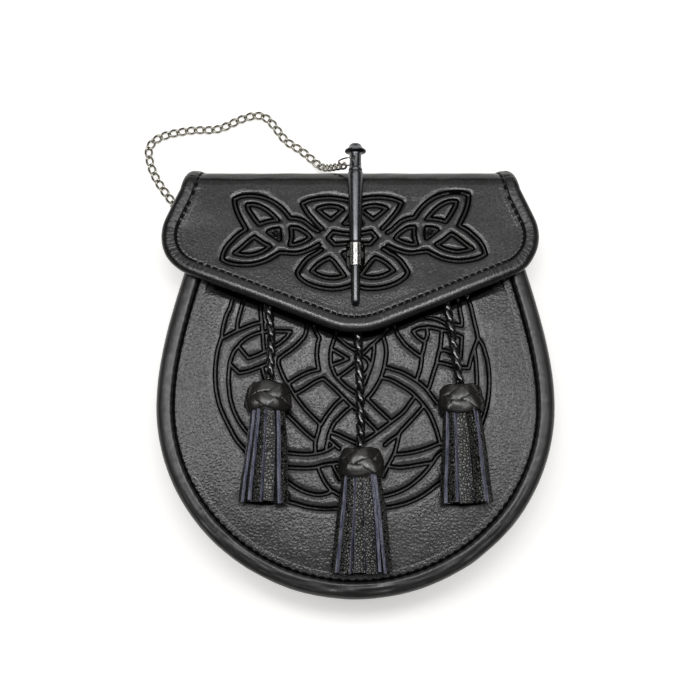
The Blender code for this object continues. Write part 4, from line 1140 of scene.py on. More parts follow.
def flap_point(u, v, lift):
    """Where a point of the flat flap lies once folded, lifted off its mid-surface: a sloping plane in front,
    half an ellipse over the fold and a level tail, less the droop of the corners."""
    u, v, lift = np.broadcast_arrays(np.asarray(u, float), np.asarray(v, float), lift)
    front = np.maximum(v, 0.0) / RISE_SLANT
    angle = np.interp(np.clip(-v, 0.0, FOLD_LENGTH), FOLD_RUN, FOLD_ANGLE)
    tail = np.maximum(-v - FOLD_LENGTH, 0.0)
    middle, half_height = (FOLD_Z_HIGH + FOLD_Z_LOW) / 2, (FOLD_Z_HIGH - FOLD_Z_LOW) / 2
    y = FOLD_Y - front + FOLD_REACH * np.sin(angle) - tail
    z = middle + half_height * np.cos(angle) + front * FLAP_RISE
    normal = unit(np.stack([half_height * np.sin(angle), FOLD_REACH * np.cos(angle)], -1))
    normal = np.where((v > 0)[..., None], np.array([FLAP_RISE, 1.0]) / RISE_SLANT, normal)
    past = np.clip((np.abs(u) - DROOP_START) / (HALF_WIDTH - DROOP_START), 0.0, None)
    droop = FLAP_DROOP * past**2 * np.clip(v / DROOP_FADE, 0.0, 1.0)
    return np.stack([u - set_over(v), y + normal[..., 0] * lift, z + normal[..., 1] * lift - droop], -1)


def meet_height(pixels, height):
    """The model's (x, y) where the view rays through points of the photograph reach given heights."""
    right, up = (pixels[:, 0] - IMAGE_SIZE / 2) / FOCAL, (IMAGE_SIZE / 2 - pixels[:, 1]) / FOCAL
    ray_y = math.cos(ELEVATION) + up * math.sin(ELEVATION)
    ray_z = -math.sin(ELEVATION) + up * math.cos(ELEVATION)
    reach = (height - EYE[2]) / ray_z
    return np.stack([EYE[0] + reach * right, EYE[1] + reach * ray_y], 1)


def photo_to_front(pixels):
    """(x, y) on the front under points of the photograph, corrected to the front's height there."""
    height = np.full(len(pixels), SEAM_Z_FOOT)
    for _ in range(4):
        place = meet_height(pixels, height)
        height = front_height(place[:, 0], place[:, 1])
    return place


def photo_to_flap(pixels):
    """(u, v) on the flap under points of the photograph, corrected to the flap's height there."""
    u = v = np.full(len(pixels), 30.0)
    for _ in range(5):
        place = meet_height(pixels, flap_point(u, v, FLAP_THICK / 2)[:, 2])
        v = (FOLD_Y + FLAP_RISE / RISE_SLANT * FLAP_THICK / 2 - place[:, 1]) * RISE_SLANT
        u = place[:, 0] + set_over(v)
    return np.stack([u, v], 1)


def drawn(strokes, view=None):
    """Smooth curves, in pixels, through the listed points of an enlarged view or of the photograph."""
    left, top, scale = view or (0.0, 0.0, 1.0)
    curves = []
    for stroke in strokes:
        points = np.array(stroke, float) / scale + (left, top)
        length = np.linalg.norm(np.diff(points, axis=0), axis=1).sum()
        curves.append(spline(points, max(3, round(length / STROKE_STEP))))
    return curves


def mirrored(curves, axis):
    """Curves mirrored left to right about an upright axis."""
    return [curve * (-1, 1) + (2 * axis, 0) for curve in curves]


def turned(curves, angle, about):
    """Curves turned by an angle about a point."""
    cosine, sine = math.cos(angle), math.sin(angle)
    turn = np.array([[cosine, -sine], [sine, cosine]])
    return [(curve - about) @ turn.T + about for curve in curves]


def flap_grooves():
    """The flap's grooves as curves in (u, v): the side knot, its mirrored twin and the middle knot."""
    side = drawn(FLAP_SIDE_GROOVES, SIDE_VIEW)
    twin = turned(mirrored(side, SIDE_MIRROR_X), SIDE_TURN, SIDE_TURN_ABOUT)
    half = drawn(FLAP_CENTRE_GROOVES, CENTRE_VIEW)
    middle = turned(half + mirrored(half, CENTRE_MIRROR_X), CENTRE_TURN, CENTRE_TURN_ABOUT)
    return [photo_to_flap(curve) for curve in side + [curve + SIDE_SHIFT for curve in twin] + middle]


def front_grooves():
    """The front's grooves as curves in (x, y)."""
    return [photo_to_front(curve) for curve in drawn(FRONT_LEFT_GROOVES + FRONT_RIGHT_GROOVES)]


def groove_field(curves, window):
    """Distance to the nearest groove on a lattice over a window and 1 mm round it: for each short stretch,
    its distance from every lattice point near it."""
    half, low, high = window
    start = np.array([-half - 1.0, low - 1.0])
    x = np.arange(start[0], half + 1.0, LATTICE_STEP)
    y = np.arange(start[1], high + 1.0, LATTICE_STEP)
    field = np.full((len(x), len(y)), NEAR)
    for curve in curves:
        for a, b in zip(curve[:-1], curve[1:]):
            first = ((np.minimum(a, b) - NEAR - start) / LATTICE_STEP).astype(int).clip(0)
            last = ((np.maximum(a, b) + NEAR - start) / LATTICE_STEP).astype(int).clip(0) + 1
            part = slice(first[0], last[0]), slice(first[1], last[1])
            px, py = x[part[0], None] - a[0], y[None, part[1]] - a[1]
            dx, dy = b - a
            share = np.clip((px * dx + py * dy) / (dx * dx + dy * dy + 1e-12), 0.0, 1.0)
            away = np.hypot(px - share * dx, py - share * dy)
            field[part] = np.minimum(field[part], away)
    return x, y, field


def read_field(lattice, window, x, y):
    """The lattice's value at points, blended between its four nearest points, and NEAR outside the window."""
    half, bottom, top = window
    inside = (np.abs(x) < half) & (y > bottom) & (y < top)
    xs, ys, field = lattice
    column = np.clip((x - xs[0]) / LATTICE_STEP, 0, len(xs) - 1.001)
    row = np.clip((y - ys[0]) / LATTICE_STEP, 0, len(ys) - 1.001)
    i, j = column.astype(int), row.astype(int)
    across, along = column - i, row - j
    low = field[i, j] * (1 - across) + field[i + 1, j] * across
    high = field[i, j + 1] * (1 - across) + field[i + 1, j + 1] * across
    return np.where(inside, low * (1 - along) + high * along, NEAR)


def pressed(away, floor, wall, depth, shoulder_drop, reach):
    """Height of pressed leather at a distance from a groove's middle line: a level floor, an s-shaped wall
    and a wide soft shoulder above it."""
    shoulder = shoulder_drop * (smooth_step(away, wall - SHOULDER_START, wall + reach) - 1.0)
    return depth * (smooth_step(away, floor, wall) - 1.0) + shoulder


def swells(x, y, layers):
    """Smooth random height of a surface: the sum of its layers."""
    return sum(height * rumple(x / width, y / width, seed) for height, width, seed in layers)


def stations(*breaks):
    """Coordinates from the first break's start through each (end, step) after it, at about its step."""
    parts = [np.array([breaks[0]])]
    for end, step in breaks[1:]:
        start = parts[-1][-1]
        count = max(1, round(abs(end - start) / step))
        parts.append(np.linspace(start, end, count + 1)[1:])
    return np.concatenate(parts)


# Shares across a sheet: even steps, or fine ones over the knotwork and wide ones beside it
BROAD_COLUMNS = stations(-1.0, (1.0, 0.021))
FRONT_COLUMNS = stations(-1.0, (-0.775, 0.018), (0.775, 0.00505), (1.0, 0.018))
FLAP_COLUMNS = stations(-1.0, (-0.765, 0.02), (0.765, 0.0045), (1.0, 0.02))
LOWER_COLUMNS = {"moulded_front": 15, "folded_flap": 25}  # columns of points on the plain lower faces


def stitch_rows(first, second, first_share, second_share):
    """Triangles between two rows of point numbers with different counts: each stretch of one row goes to the
    point of the other that lies nearest to its middle, by their shares across."""
    middle = (first_share[1:] + first_share[:-1]) / 2
    halfway = (second_share[1:] + second_share[:-1]) / 2
    nearest = np.searchsorted(halfway, middle)
    switch = np.searchsorted(nearest, np.arange(1, len(second)))
    down = np.stack([first[:-1], first[1:], second[nearest]], 1)
    up = np.stack([second[1:], second[:-1], first[switch]], 1)
    return np.concatenate([down, up])


def sheet_solid(layers, lower, upper_pole, lower_pole):
    """A leather sheet from grids. The upper face is a list of grids with their shares across, one below the
    other and stitched where their column counts change; the lower face is one grid with all the rows. Every
    row ends on the sheet's edge, walls join the edges, and the last row closes on a pole."""
    points, blocks, ends, start, before = [], [], [], 0, None
    for grid, share in layers:
        rows, columns = grid.shape[:2]
        blocks.append(grid_faces(rows, columns, first=start))
        numbers = start + np.arange(rows * columns).reshape(rows, columns)
        if before is not None:
            blocks.append(stitch_rows(before[0], numbers[0], before[1], share))
        before = (numbers[-1], share)
        ends.append(numbers[:, [0, -1]])
        points.append(grid.reshape(-1, 3))
        start += rows * columns
    ends = np.concatenate(ends)
    rows, narrow = lower.shape[:2]
    low = start + np.arange(rows * narrow).reshape(rows, narrow)
    blocks.append(grid_faces(rows, narrow, first=start)[:, ::-1])
    top, bottom = start + rows * narrow, start + rows * narrow + 1
    points += [lower.reshape(-1, 3), np.array(upper_pole)[None], np.array(lower_pole)[None]]
    left, right = ends[:, 0], ends[:, 1]
    blocks.append(np.stack([left[:-1], left[1:], low[1:, 0], low[:-1, 0]], 1))
    blocks.append(np.stack([right[:-1], low[:-1, -1], low[1:, -1], right[1:]], 1))
    blocks.append(fan_faces(before[0], top))
    blocks.append(fan_faces(low[-1, ::-1], bottom))
    blocks.append(np.array([
        [before[0][0], top, bottom, low[-1, 0]], [top, before[0][-1], low[-1, -1], bottom],
    ]))
    first_row = np.arange(layers[0][0].shape[1])
    blocks.append(np.concatenate([first_row, low[0, ::-1]])[None])
    return np.vstack(points), blocks


def make_sheet(name, node, material, groups, columns, reach_of, surface, lower, poles):
    """A sheet piece from groups of rows, each with its shares across: reach_of gives half the sheet's width
    at each row, surface the upper face and its away values, and lower the lower face."""
    layers, aways = [], []
    for rows, across in zip(groups, columns):
        reach = reach_of(rows)[:, None]
        points, away = surface(reach * across, np.repeat(rows[:, None], len(across), 1), reach)
        layers.append((points, across))
        aways.append(away.ravel())
    rows, across = np.concatenate(groups), np.linspace(-1, 1, LOWER_COLUMNS[name])
    under = lower(reach_of(rows)[:, None] * across, np.repeat(rows[:, None], len(across), 1))
    points, blocks = sheet_solid(layers, under, *poles)
    away = np.concatenate(aways + [np.full(under.shape[0] * under.shape[1] + 2, NEAR)])
    make_piece(name, points, blocks, material, "black_leather", (node,), {"away": away}, 50)


def row_reach(rows, inset):
    """Half the width of the front at each row, inside an inset from the pouch's outline."""
    path, outward = body_path(FRONT_TOP_Y, REACH_STEPS)
    inner = (path - outward * inset)[REACH_STEPS // 2 + 1 :]
    return np.interp(rows, inner[:, 1], inner[:, 0])


UNDER_FLAP_DIP, UNDER_FLAP_REACH = 1.6, 4.4  # how far the flap presses the front in, and from how far out
FRONT_LATTICE = groove_field(front_grooves(), FRONT_WINDOW)
FLAP_LATTICE = groove_field(flap_grooves(), FLAP_WINDOW)


def shaded(distance):
    """The away value of leather close by a piece that lies on it, by the distance out from the piece: it
    paints a shadow, a crevice's full shade beside the piece, then less and less, then plain leather."""
    rise = CONTACT_RISE * smooth_step(distance, *CONTACT_REACH)
    return CREVICE + rise + NEAR * smooth_step(distance, *CONTACT_END)


def below_fringes(x, y):
    """Distance out from the nearest fringe's end, longer towards its sides, for the painted shadow below it.
    """
    nearest = np.full(x.shape, NEAR)
    for tassel, row in TASSELS.items():
        _, waist, end = tassel_points(tassel)
        along, across, _ = frame_along(waist, end)
        past = (x - end[0]) * along[0] + (y - end[1]) * along[1]
        beside = (x - end[0]) * across[0] + (y - end[1]) * across[1]
        out = np.maximum(past + FRINGE_OVERLAP, 0.0) + FRINGE_ROUND * (beside / row["half_end"]) ** 2
        nearest = np.minimum(nearest, np.where(past > -FRINGE_UNDER, out, NEAR))
    return nearest


def front_surface(x, y, reach):
    """The front's upper face and its away values: the dome with its pressed knotwork and uneven surface,
    which fade out towards the rim, less the dip under the flap. Beside the flap's edge and the fringes'
    ends the away values paint a shadow on the leather."""
    away = read_field(FRONT_LATTICE, FRONT_WINDOW, x, y)
    relief = pressed(away, *FRONT_GROOVE, *FRONT_RELIEF)
    foot_inset = (1.0 - np.hypot(x / HALF_WIDTH, (y - WIDEST_Y) / (WIDEST_Y - FOOT_Y))) * HALF_WIDTH
    inset = np.where(y < WIDEST_Y, foot_inset, reach + FLANGE_INSET - np.abs(x))
    rim_free = smooth_step(inset, *RIM_FREE)
    edge_y = flap_edge_y(x)
    under = smooth_step(y - edge_y, -UNDER_FLAP_REACH, 1.0)
    # Painted shadow: the leather beside the flap's edge and below the fringes' ends goes dark
    away = np.minimum(away, shaded(np.minimum(edge_y - y, below_fringes(x, y))))
    height = front_height(x, y) + (relief + swells(x, y, FRONT_SWELLS)) * rim_free - UNDER_FLAP_DIP * under
    return np.stack([x, y, height], -1), away


def make_front():
    """The moulded front: wide rows under the flap, fine ones over the knotwork and even steps round the
    foot; its lining side is plain."""
    depth = WIDEST_Y - FOOT_Y - FLANGE_INSET
    first = np.arcsin((WIDEST_Y - FRONT_FINE_FOOT + 1.0) / depth)
    turn = np.linspace(first, math.pi / 2, FRONT_FOOT_ROWS + 1)[:-1]
    groups = (
        stations(FRONT_TOP_Y, (FRONT_HIDDEN_FOOT, FRONT_HIDDEN_STEP)),
        stations(FRONT_FINE_TOP, (FRONT_FINE_FOOT, FRONT_FINE_STEP)),
        WIDEST_Y - depth * np.sin(turn),
    )
    foot_y = FOOT_Y + FLANGE_INSET
    poles = [np.array([0.0, foot_y, seam_height(foot_y) - down]) for down in (0.0, FRONT_THICK)]
    make_sheet(
        "moulded_front", "front_panel", FRONT_LEATHER, groups, (BROAD_COLUMNS, FRONT_COLUMNS, BROAD_COLUMNS),
        lambda rows: row_reach(rows, FLANGE_INSET), front_surface,
        lambda x, y: np.stack([x, y, front_height(x, y) - FRONT_THICK], -1), poles,
    )


def corner_arc(corner, before, after, radius):
    """The arc that rounds a corner between two directions leading away from it."""
    before, after = unit(before), unit(after)
    half = math.acos(before @ after) / 2
    centre = corner + unit(before + after) * radius / math.sin(half)
    first = corner + before * radius / math.tan(half) - centre
    last = corner + after * radius / math.tan(half) - centre
    sweep = math.atan2(first[0] * last[1] - first[1] * last[0], first @ last)
    angle = np.linspace(0, sweep, ARC_STEPS)[:, None]
    return centre + first * np.cos(angle) + np.array([-first[1], first[0]]) * np.sin(angle)


def flap_outline(count):
    """The flat flap's outline (u, v) from the right foot of the fold to its left foot, and its way in."""
    fold_v = np.linspace(-FOLD_LENGTH, 0.0, ARC_STEPS)
    fold = np.stack([FLAP_HALF_AT_FOLD + FLAP_FOLD_SLOPE * fold_v, fold_v], 1)
    meet_u = (FLAP_HALF_AT_FOLD + FLAP_SIDE_SLOPE * FLAP_TIP_V) / (1 + FLAP_SIDE_SLOPE * FLAP_EDGE_SLOPE)
    corner = np.array([meet_u, FLAP_TIP_V - FLAP_EDGE_SLOPE * meet_u])
    tip = np.array([0.0, FLAP_TIP_V])
    round_corner = corner_arc(corner, fold[-1] - corner, tip - corner, FLAP_CORNER_RADIUS)
    round_tip = corner_arc(tip, corner - tip, (corner - tip) * (-1, 1), FLAP_TIP_RADIUS)
    right = np.vstack([fold, round_corner, round_tip[: ARC_STEPS // 2 + 1]])
    path = equal_steps(np.vstack([right, right[-2::-1] * (-1, 1)]), count)
    along = tangents(path)
    inward = np.stack([-along[:, 1], along[:, 0]], 1)
    flat = np.stack([-np.sign(path[:, 0]), np.zeros(len(path))], 1)
    share = smooth_step(path[:, 1], 0.0, 4.0)[:, None]
    return path, unit(flat * (1 - share) + inward * share)


def flap_inner_edge():
    """The right edge (u, v) of the flap's leather inside its binding: the sewn tail, the fold and the
    front."""
    path, inward = flap_outline(EDGE_STEPS)
    edge = (path + inward * FLAP_EDGE_INSET)[: len(path) // 2 + 1]
    return np.vstack([[(TAIL_HALF, -FOLD_LENGTH - TAIL_LENGTH), (TAIL_HALF, -FOLD_LENGTH - 2.0)], edge])


FLAP_INNER_EDGE = flap_inner_edge()
FLAP_INNER_TIP = FLAP_INNER_EDGE[-1, 1]


def flap_reach(v):
    """Half the width of the flap's leather at v."""
    return np.interp(v, FLAP_INNER_EDGE[:, 1], FLAP_INNER_EDGE[:, 0])


def flap_lower_edge():
    """The flap's lower edge (x, y) over the front, from left to right."""
    path = flap_outline(EDGE_STEPS)[0]
    edge = flap_point(path[:, 0], path[:, 1], 0.0)[len(path) // 6 : -len(path) // 6]
    lower = edge[edge[:, 1] < edge[0, 1]]
    return lower[np.argsort(lower[:, 0]), :2]


FLAP_LOWER_EDGE = flap_lower_edge()


def flap_edge_y(x):
    """y of the flap's lower edge over the front at x."""
    return np.interp(x, FLAP_LOWER_EDGE[:, 0], FLAP_LOWER_EDGE[:, 1])


make_front()

# The flap's surface: the dot in each side knot, the hollow round the peg's loop with painted shade in it,
# and the fold's away values, which paint shade over the fold's leather, darker and mirroring less light
STUD_HEIGHT, STUD_RADIUS = 0.9, 1.0
STUD_PLAIN_RADIUS = 1.4  # the stud's top has plain leather
STUD_MOAT, STUD_MOAT_RADIUS, STUD_MOAT_WIDTH = 0.45, 1.6, 0.45
STUD_REACH = 2.4
STUD_WALL = 1.15  # the away value, which paints groove shade, in the middle of a stud's moat and at the loop's hollow
LOOP_HOLLOW = 1.6  # its depth
LOOP_HOLLOW_LENGTH = 3.7  # from the loop's middle to where its round ends begin
LOOP_HOLLOW_RADIUS = (4.0, 4.6)  # where its floor ends and where its wall ends
FOLD_AWAY, FOLD_AWAY_DROP = 1.59, 0.18
# Rows of the flap: round the fold, over the knots and out to the tip, each by its start and its stretches'
# (end, step)
FLAP_ROWS = (
    (-FOLD_LENGTH - TAIL_LENGTH, (-FOLD_LENGTH, 2.6), (1.2, 1.2)),
    (2.4, (3.6, 0.6), (56.0, 0.42)),
    (56.8, (FLAP_INNER_TIP - 0.9, 1.0)),
)


def flap_surface(u, v, reach):
    """The flap's upper face and its away values: pressed knots with a stud in the middle of each side knot,
    creases near the fold and a hollow round the loop; the away values paint shade in the grooves, the hollow
    and over the fold. The knots and the uneven surface fade out towards the binding."""
    away = read_field(FLAP_LATTICE, FLAP_WINDOW, u, v)
    relief = pressed(away, *FLAP_GROOVE, *FLAP_RELIEF) * smooth_step(v, 0.0, 3.0)
    for stud_u, stud_v in photo_to_flap(SIDE_STUDS):
        radius = np.hypot(u - stud_u, v - stud_v)
        moat = np.abs(radius - STUD_MOAT_RADIUS)
        bump = STUD_HEIGHT * np.exp(-((radius / STUD_RADIUS) ** 4))
        relief += bump - STUD_MOAT * np.exp(-((moat / STUD_MOAT_WIDTH) ** 2))
        away = np.where(radius < STUD_REACH, np.minimum(away, STUD_WALL + moat), away)
        away = np.where(radius < STUD_PLAIN_RADIUS, NEAR, away)
    folds = 0.10 * rumple(u / 7.0 + v / 5.0, v / 3.5, 21) * (1.0 - smooth_step(v, 4.0, 16.0))
    uneven = swells(u, v, FLAP_SWELLS) + folds
    side_inset, tip_inset = reach - np.abs(u), FLAP_INNER_TIP - v
    fade = smooth_step(side_inset, 3.0, 9.0) * smooth_step(tip_inset, 2.0, 12.0)
    calm = smooth_step(side_inset, 9.5, 17.0) * smooth_step(tip_inset, 10.0, 18.0)
    loop_x, loop_y = np.abs(u - set_over(v)), np.abs(flap_point(u, v, 0.0)[..., 1] - LOOP_Y)
    from_loop = np.hypot(loop_x, np.maximum(loop_y - LOOP_HOLLOW_LENGTH, 0.0))
    hollow = 1.0 - smooth_step(from_loop, *LOOP_HOLLOW_RADIUS)
    # Painted shade in the hollow round the loop
    away = np.where(hollow > 0.0, np.minimum(away, STUD_WALL + 2.0 * (1.0 - hollow)), away)
    # Painted shade over the fold
    away = np.where(v < -2.0, FOLD_AWAY - FOLD_AWAY_DROP * smooth_step(-v, 2.0, 10.0), away)
    return flap_point(u, v, FLAP_THICK / 2 + relief * fade + uneven * calm - LOOP_HOLLOW * hollow), away


def make_flap():
    """The flap: a sheet folded over the pouch's top, with its three knots pressed in."""
    groups = [stations(*stretches) for stretches in FLAP_ROWS]
    poles = [flap_point(0.0, FLAP_INNER_TIP, side * FLAP_THICK / 2) for side in (1, -1)]
    make_sheet(
        "folded_flap", "flap", FLAP_LEATHER, groups, (BROAD_COLUMNS, FLAP_COLUMNS, BROAD_COLUMNS),
        flap_reach, flap_surface, lambda u, v: flap_point(u, v, -FLAP_THICK / 2), poles,
    )


def along_flap_edge(section, count, rough):
    """A closed section of (inset, lift) points carried along the flap's outline, in the flap's own folded
    space; rough changes insets and lifts from the run along the edge and from themselves."""
    path, inward = flap_outline(count)
    inset, lift = np.asarray(section, float).T[:, None]
    inset, lift = rough(run_along(path)[:, None], inset, lift)
    flat = path[:, None] + inward[:, None] * inset[..., None]
    return flap_point(flat[..., 0], flat[..., 1], lift)


# Section of the binding: inset from the flap's edge and lift off the flap's mid-surface. It is highest
# near the rounded edge and sinks towards the stitches.
BINDING_SECTION = [
    (6.9, 0.4), (7.0, 1.1), (6.85, 1.7), (6.3, 1.98), (5.3, 2.1), (4.3, 2.24), (3.6, 2.32), (3.0, 2.3),
    (2.4, 2.19), (1.8, 2.0), (1.2, 1.66), (0.65, 1.2), (0.2, 0.6), (0.0, -0.2), (0.25, -1.1), (0.9, -1.9),
    (1.8, -2.25), (3.5, -2.3), (5.2, -2.3), (6.7, -2.25), (6.8, -1.8), (6.7, -1.35), (5.2, -1.3), (3.0, -1.3),
    (1.4, -1.28), (1.05, -0.9), (1.0, 0.0), (1.05, 0.7), (1.4, 1.0), (3.0, 1.1), (5.2, 0.8),
]
# Section of the sewn line beside the binding: a groove for the stitches and the leather that rises from it
FLAP_SEAM_SECTION = [
    (6.6, 0.2), (6.8, 0.8), (7.1, 0.6), (7.45, 0.55), (7.75, 0.75), (7.95, 0.93), (8.2, 1.01), (8.7, 1.04),
    (9.5, 1.03), (10.6, 0.99), (11.2, 0.8), (9.2, 0.0), (7.6, -0.1),
]
FLAP_CREVICE_INSET = 7.9  # the seam has painted crevice shade up to this inset
FLAP_STITCH_INSET = 7.42
FLAP_STITCH_LIFT = 1.0
FLAP_STITCH_PITCH = 3.6
FLAP_STITCH = (2.8, 1.3, 0.7)  # length, width and thickness
FLAP_BEAD_LEAN, FLAP_BEAD_LIFT = 0.36, 0.14
# Section of the rim: inset from the pouch's outline and height over the seam. It is highest beside the
# seam and falls off outwards like a quarter round.
RIM_SECTION = [
    (8.0, 0.4), (8.1, 1.3), (7.9, 2.5), (7.3, 3.25), (6.6, 3.45), (5.6, 3.38), (4.4, 3.18), (3.3, 2.92),
    (2.3, 2.58), (1.5, 2.1), (0.8, 1.3), (0.25, 0.2), (0.03, -0.7), (0.3, -1.9), (1.3, -2.95), (2.8, -3.4),
    (4.2, -3.35), (4.5, -2.7), (4.52, -1.2), (4.55, 0.1), (4.9, 0.36), (6.2, 0.38), (7.3, 0.36),
]
# Section of the sewn line beside the rim: inset, and height over the front. It is a strip that lies on the
# front, with painted shade beside the rim.
RIM_SEAM_SECTION = [
    (7.4, -0.8), (7.7, 0.06), (8.2, 0.07), (8.8, 0.07), (9.2, 0.07), (9.45, 0.09), (9.8, 0.11), (10.6, 0.1),
    (11.6, 0.06), (12.6, -0.04), (13.2, -0.3), (10.6, -1.3), (9.0, -1.5),
]
# The rim's seam has painted crevice shade up to this inset
RIM_CREVICE_INSET = 9.3
RIM_STITCH_INSET = 8.65
RIM_STITCH_SINK = 0.6
RIM_STITCH_PITCH = 4.6
RIM_STITCH = (3.6, 1.2, 0.8)


def stitch_wave(run, pitch):
    """1 between two stitches and -1 at a stitch: a cosine of the run along the seam."""
    return np.cos(2 * math.pi * run / pitch)


def binding_wrinkles(run, inset, lift):
    """Fine wrinkles across the binding, on its upper face, with slow swells along it; between the stitches
    it sinks a little."""
    upper = smooth_step(lift, 1.3, 1.9)
    fine = 0.10 * rumple(run / 0.62 + inset * 0.2, inset / 3.6, 31) * (
        0.3 + 0.7 * smooth_step(inset, 2.6, 3.8)
    )
    broad = 0.05 * rumple(run / 4.0, inset / 3.0, 32)
    pulled = -0.06 * stitch_wave(run, FLAP_STITCH_PITCH) * smooth_step(inset, 4.6, 6.4)
    return inset, lift + upper * (fine + broad + pulled)


def make_binding():
    """The strip folded round the flap's edge, with a painted sheen at its rounded edge where it lies over
    the front.
    """
    section = spline(BINDING_SECTION, 46, closed=True)
    points = along_flap_edge(section, 1700, binding_wrinkles)
    # Painted sheen along the rounded edge of the flap's lower edge
    lower = 1.0 - smooth_step(points[..., 1], 42.0, 66.0)
    worn = (1.0 - smooth_step(section[:, 0], 2.9, 4.2)) * lower
    make_tube(
        "edge_binding", points, EDGE_LEATHER, "binding_leather", ("flap_binding",), {"worn": worn}, 60
    )


def make_seam(name, points, section, crevice_inset, material):
    """A seam's strip, whose away values paint a crevice's shade up to an inset."""
    away = np.where(np.array(section)[:, 0] < crevice_inset, CREVICE, NEAR)
    make_tube(name, points, material, "black_leather", attributes={"away": away})


def flap_seam_beads(run, inset, lift):
    """Between the stitches the leather rises a little and leans over the groove."""
    bead = smooth_step(lift, 0.7, 0.95) * smooth_step(8.8 - inset, 0.0, 0.6)
    between = np.maximum(stitch_wave(run, FLAP_STITCH_PITCH), 0.0)
    return inset - bead * FLAP_BEAD_LEAN * between ** 2, lift + bead * FLAP_BEAD_LIFT * between


def make_stitches(name, places, along, up, length, wide, thick):
    """Thread stitches: flattened spindles at places, each along its seam; a shared small form."""
    turn = turns(8)
    share = np.array([-1.0, -0.86, -0.5, 0.0, 0.5, 0.86, 1.0])
    girth = np.array([0.35, 0.75, 1.0, 1.0, 1.0, 0.75, 0.35])
    sink = np.array([-0.55, -0.15, 0.1, 0.15, 0.1, -0.15, -0.55]) * thick
    across = unit(np.cross(along, up))
    centre = places[:, None] + along[:, None] * (share * length / 2)[:, None] + up[:, None] * sink[:, None]
    side = across[:, None, None] * (np.cos(turn) * wide / 2)[:, None] * girth[:, None, None]
    over = up[:, None, None] * (np.sin(turn) * thick / 2)[:, None] * girth[:, None, None]
    points = centre[:, :, None] + side + over
    count, rows, columns = points.shape[:3]
    starts = (np.arange(count) * rows * columns)[:, None, None]
    form = [np.atleast_2d(block) for block in tube_faces(rows, columns)]
    blocks = [(starts + block).reshape(-1, block.shape[1]) for block in form]
    make_piece(name, points, blocks, THREAD, "black_leather")


def stitch_steps(path, line, pitch):
    """The run of each of a seam's stitches, the runs of its path, and the stitches' places and directions."""
    run = run_along(path)
    at = np.arange(0.5, run[-1] / pitch - 0.5) * pitch
    return at, run, read_along(at, run, line), unit(read_along(at, run, np.gradient(line, axis=0)))


def make_flap_stitches():
    """One stitch in each step of the seam beside the binding."""
    path, inward = flap_outline(STITCH_PATH_STEPS)
    flat = path + inward * FLAP_STITCH_INSET
    line, above = (flap_point(flat[:, 0], flat[:, 1], FLAP_STITCH_LIFT + more) for more in (0.0, 1.0))
    at, run, places, along = stitch_steps(path, line, FLAP_STITCH_PITCH)
    make_stitches("flap_stitches", places, along, unit(read_along(at, run, above - line)), *FLAP_STITCH)


def along_rim(section, count, rough):
    """A closed section of (inset, height over the seam) points carried round the pouch's sides and foot;
    rough changes insets and heights from the run along the rim, from themselves and from y."""
    path, outward = body_path(FRONT_TOP_Y - RIM_BELOW_MOUTH, count)
    inset, height = np.asarray(section, float).T[:, None]
    inset, height = rough(run_along(path)[:, None], inset, height, path[:, None, 1])
    flat = path[:, None] - outward[:, None] * inset[..., None]
    return np.stack([flat[..., 0], flat[..., 1], seam_height(flat[..., 1]) + height], -1)


def rim_wrinkles(run, inset, height, y):
    """Creases along the rim, deeper round the foot, and fine wrinkles across it where it bends."""
    shown = smooth_step(height, -3.0, -1.0) * smooth_step(height, 0.3, 0.7) + smooth_step(3.2 - inset, 0, 2.5)
    shown = np.clip(shown, 0.0, 1.0)
    foot = 1.0 - smooth_step(y, -75.0, -40.0)
    lengthwise = rumple(run / 9.0, inset / 1.1 + height / 1.3, 41)
    crosswise = rumple(run / 1.7, inset / 3.0, 42)
    swell = rumple(run / 22.0, inset / 9.0, 43)
    push = shown * (0.03 * lengthwise + foot * 0.22 * lengthwise + 0.04 * crosswise + 0.08 * swell)
    pulled = 0.12 * stitch_wave(run, RIM_STITCH_PITCH) * smooth_step(inset, 6.6, 7.9) * shown
    return inset + push * (inset - 4.5) / -4.5 * 0.6 + pulled, height + push


def make_rim():
    """The padded rim, with a painted sheen on its upper side."""
    section = spline(RIM_SECTION, 40, closed=True)
    points = along_rim(section, 760, rim_wrinkles)
    # Painted sheen over the rim's upper side
    worn = smooth_step(section[:, 1], 1.4, 2.8)
    rim = make_tube("padded_rim", points, RIM_LEATHER, "binding_leather", ("front_rim",), {"worn": worn}, 60)


def rim_seam_beads(run, inset, height, y):
    """Between the stitches the strip's middle shifts out under the rim, and at each stitch in, more so round
    the foot; its inner half lies a little further in there."""
    bead = smooth_step(height, -0.8, -0.2) * smooth_step(9.9 - inset, 0.0, 0.5)
    foot = smooth_step(-y, 20.0, 80.0)
    wave = stitch_wave(run, RIM_STITCH_PITCH)
    shift = 0.05 * foot * smooth_step(inset, 9.0, 9.2) - (0.08 + 0.22 * foot) * bead * wave
    return inset + shift, height


def make_rim_seam():
    """The sewn line inside the rim."""
    points = along_rim(RIM_SEAM_SECTION, 900, rim_seam_beads)
    points[..., 2] += front_height(points[..., 0], points[..., 1]) - seam_height(points[..., 1])
    make_seam("rim_seam", points, RIM_SEAM_SECTION, RIM_CREVICE_INSET, FRONT_LEATHER)


def make_rim_stitches():
    """One stitch in each step of the seam inside the rim."""
    path, outward = body_path(FRONT_TOP_Y - RIM_BELOW_MOUTH, STITCH_PATH_STEPS)
    flat = path - outward * RIM_STITCH_INSET
    line = np.column_stack([flat, front_height(flat[:, 0], flat[:, 1]) - RIM_STITCH_SINK])
    _, _, places, along = stitch_steps(path, line, RIM_STITCH_PITCH)
    make_stitches("rim_stitches", places, along, square_to(along, np.array([0.0, 0.0, 1.0])), *RIM_STITCH)


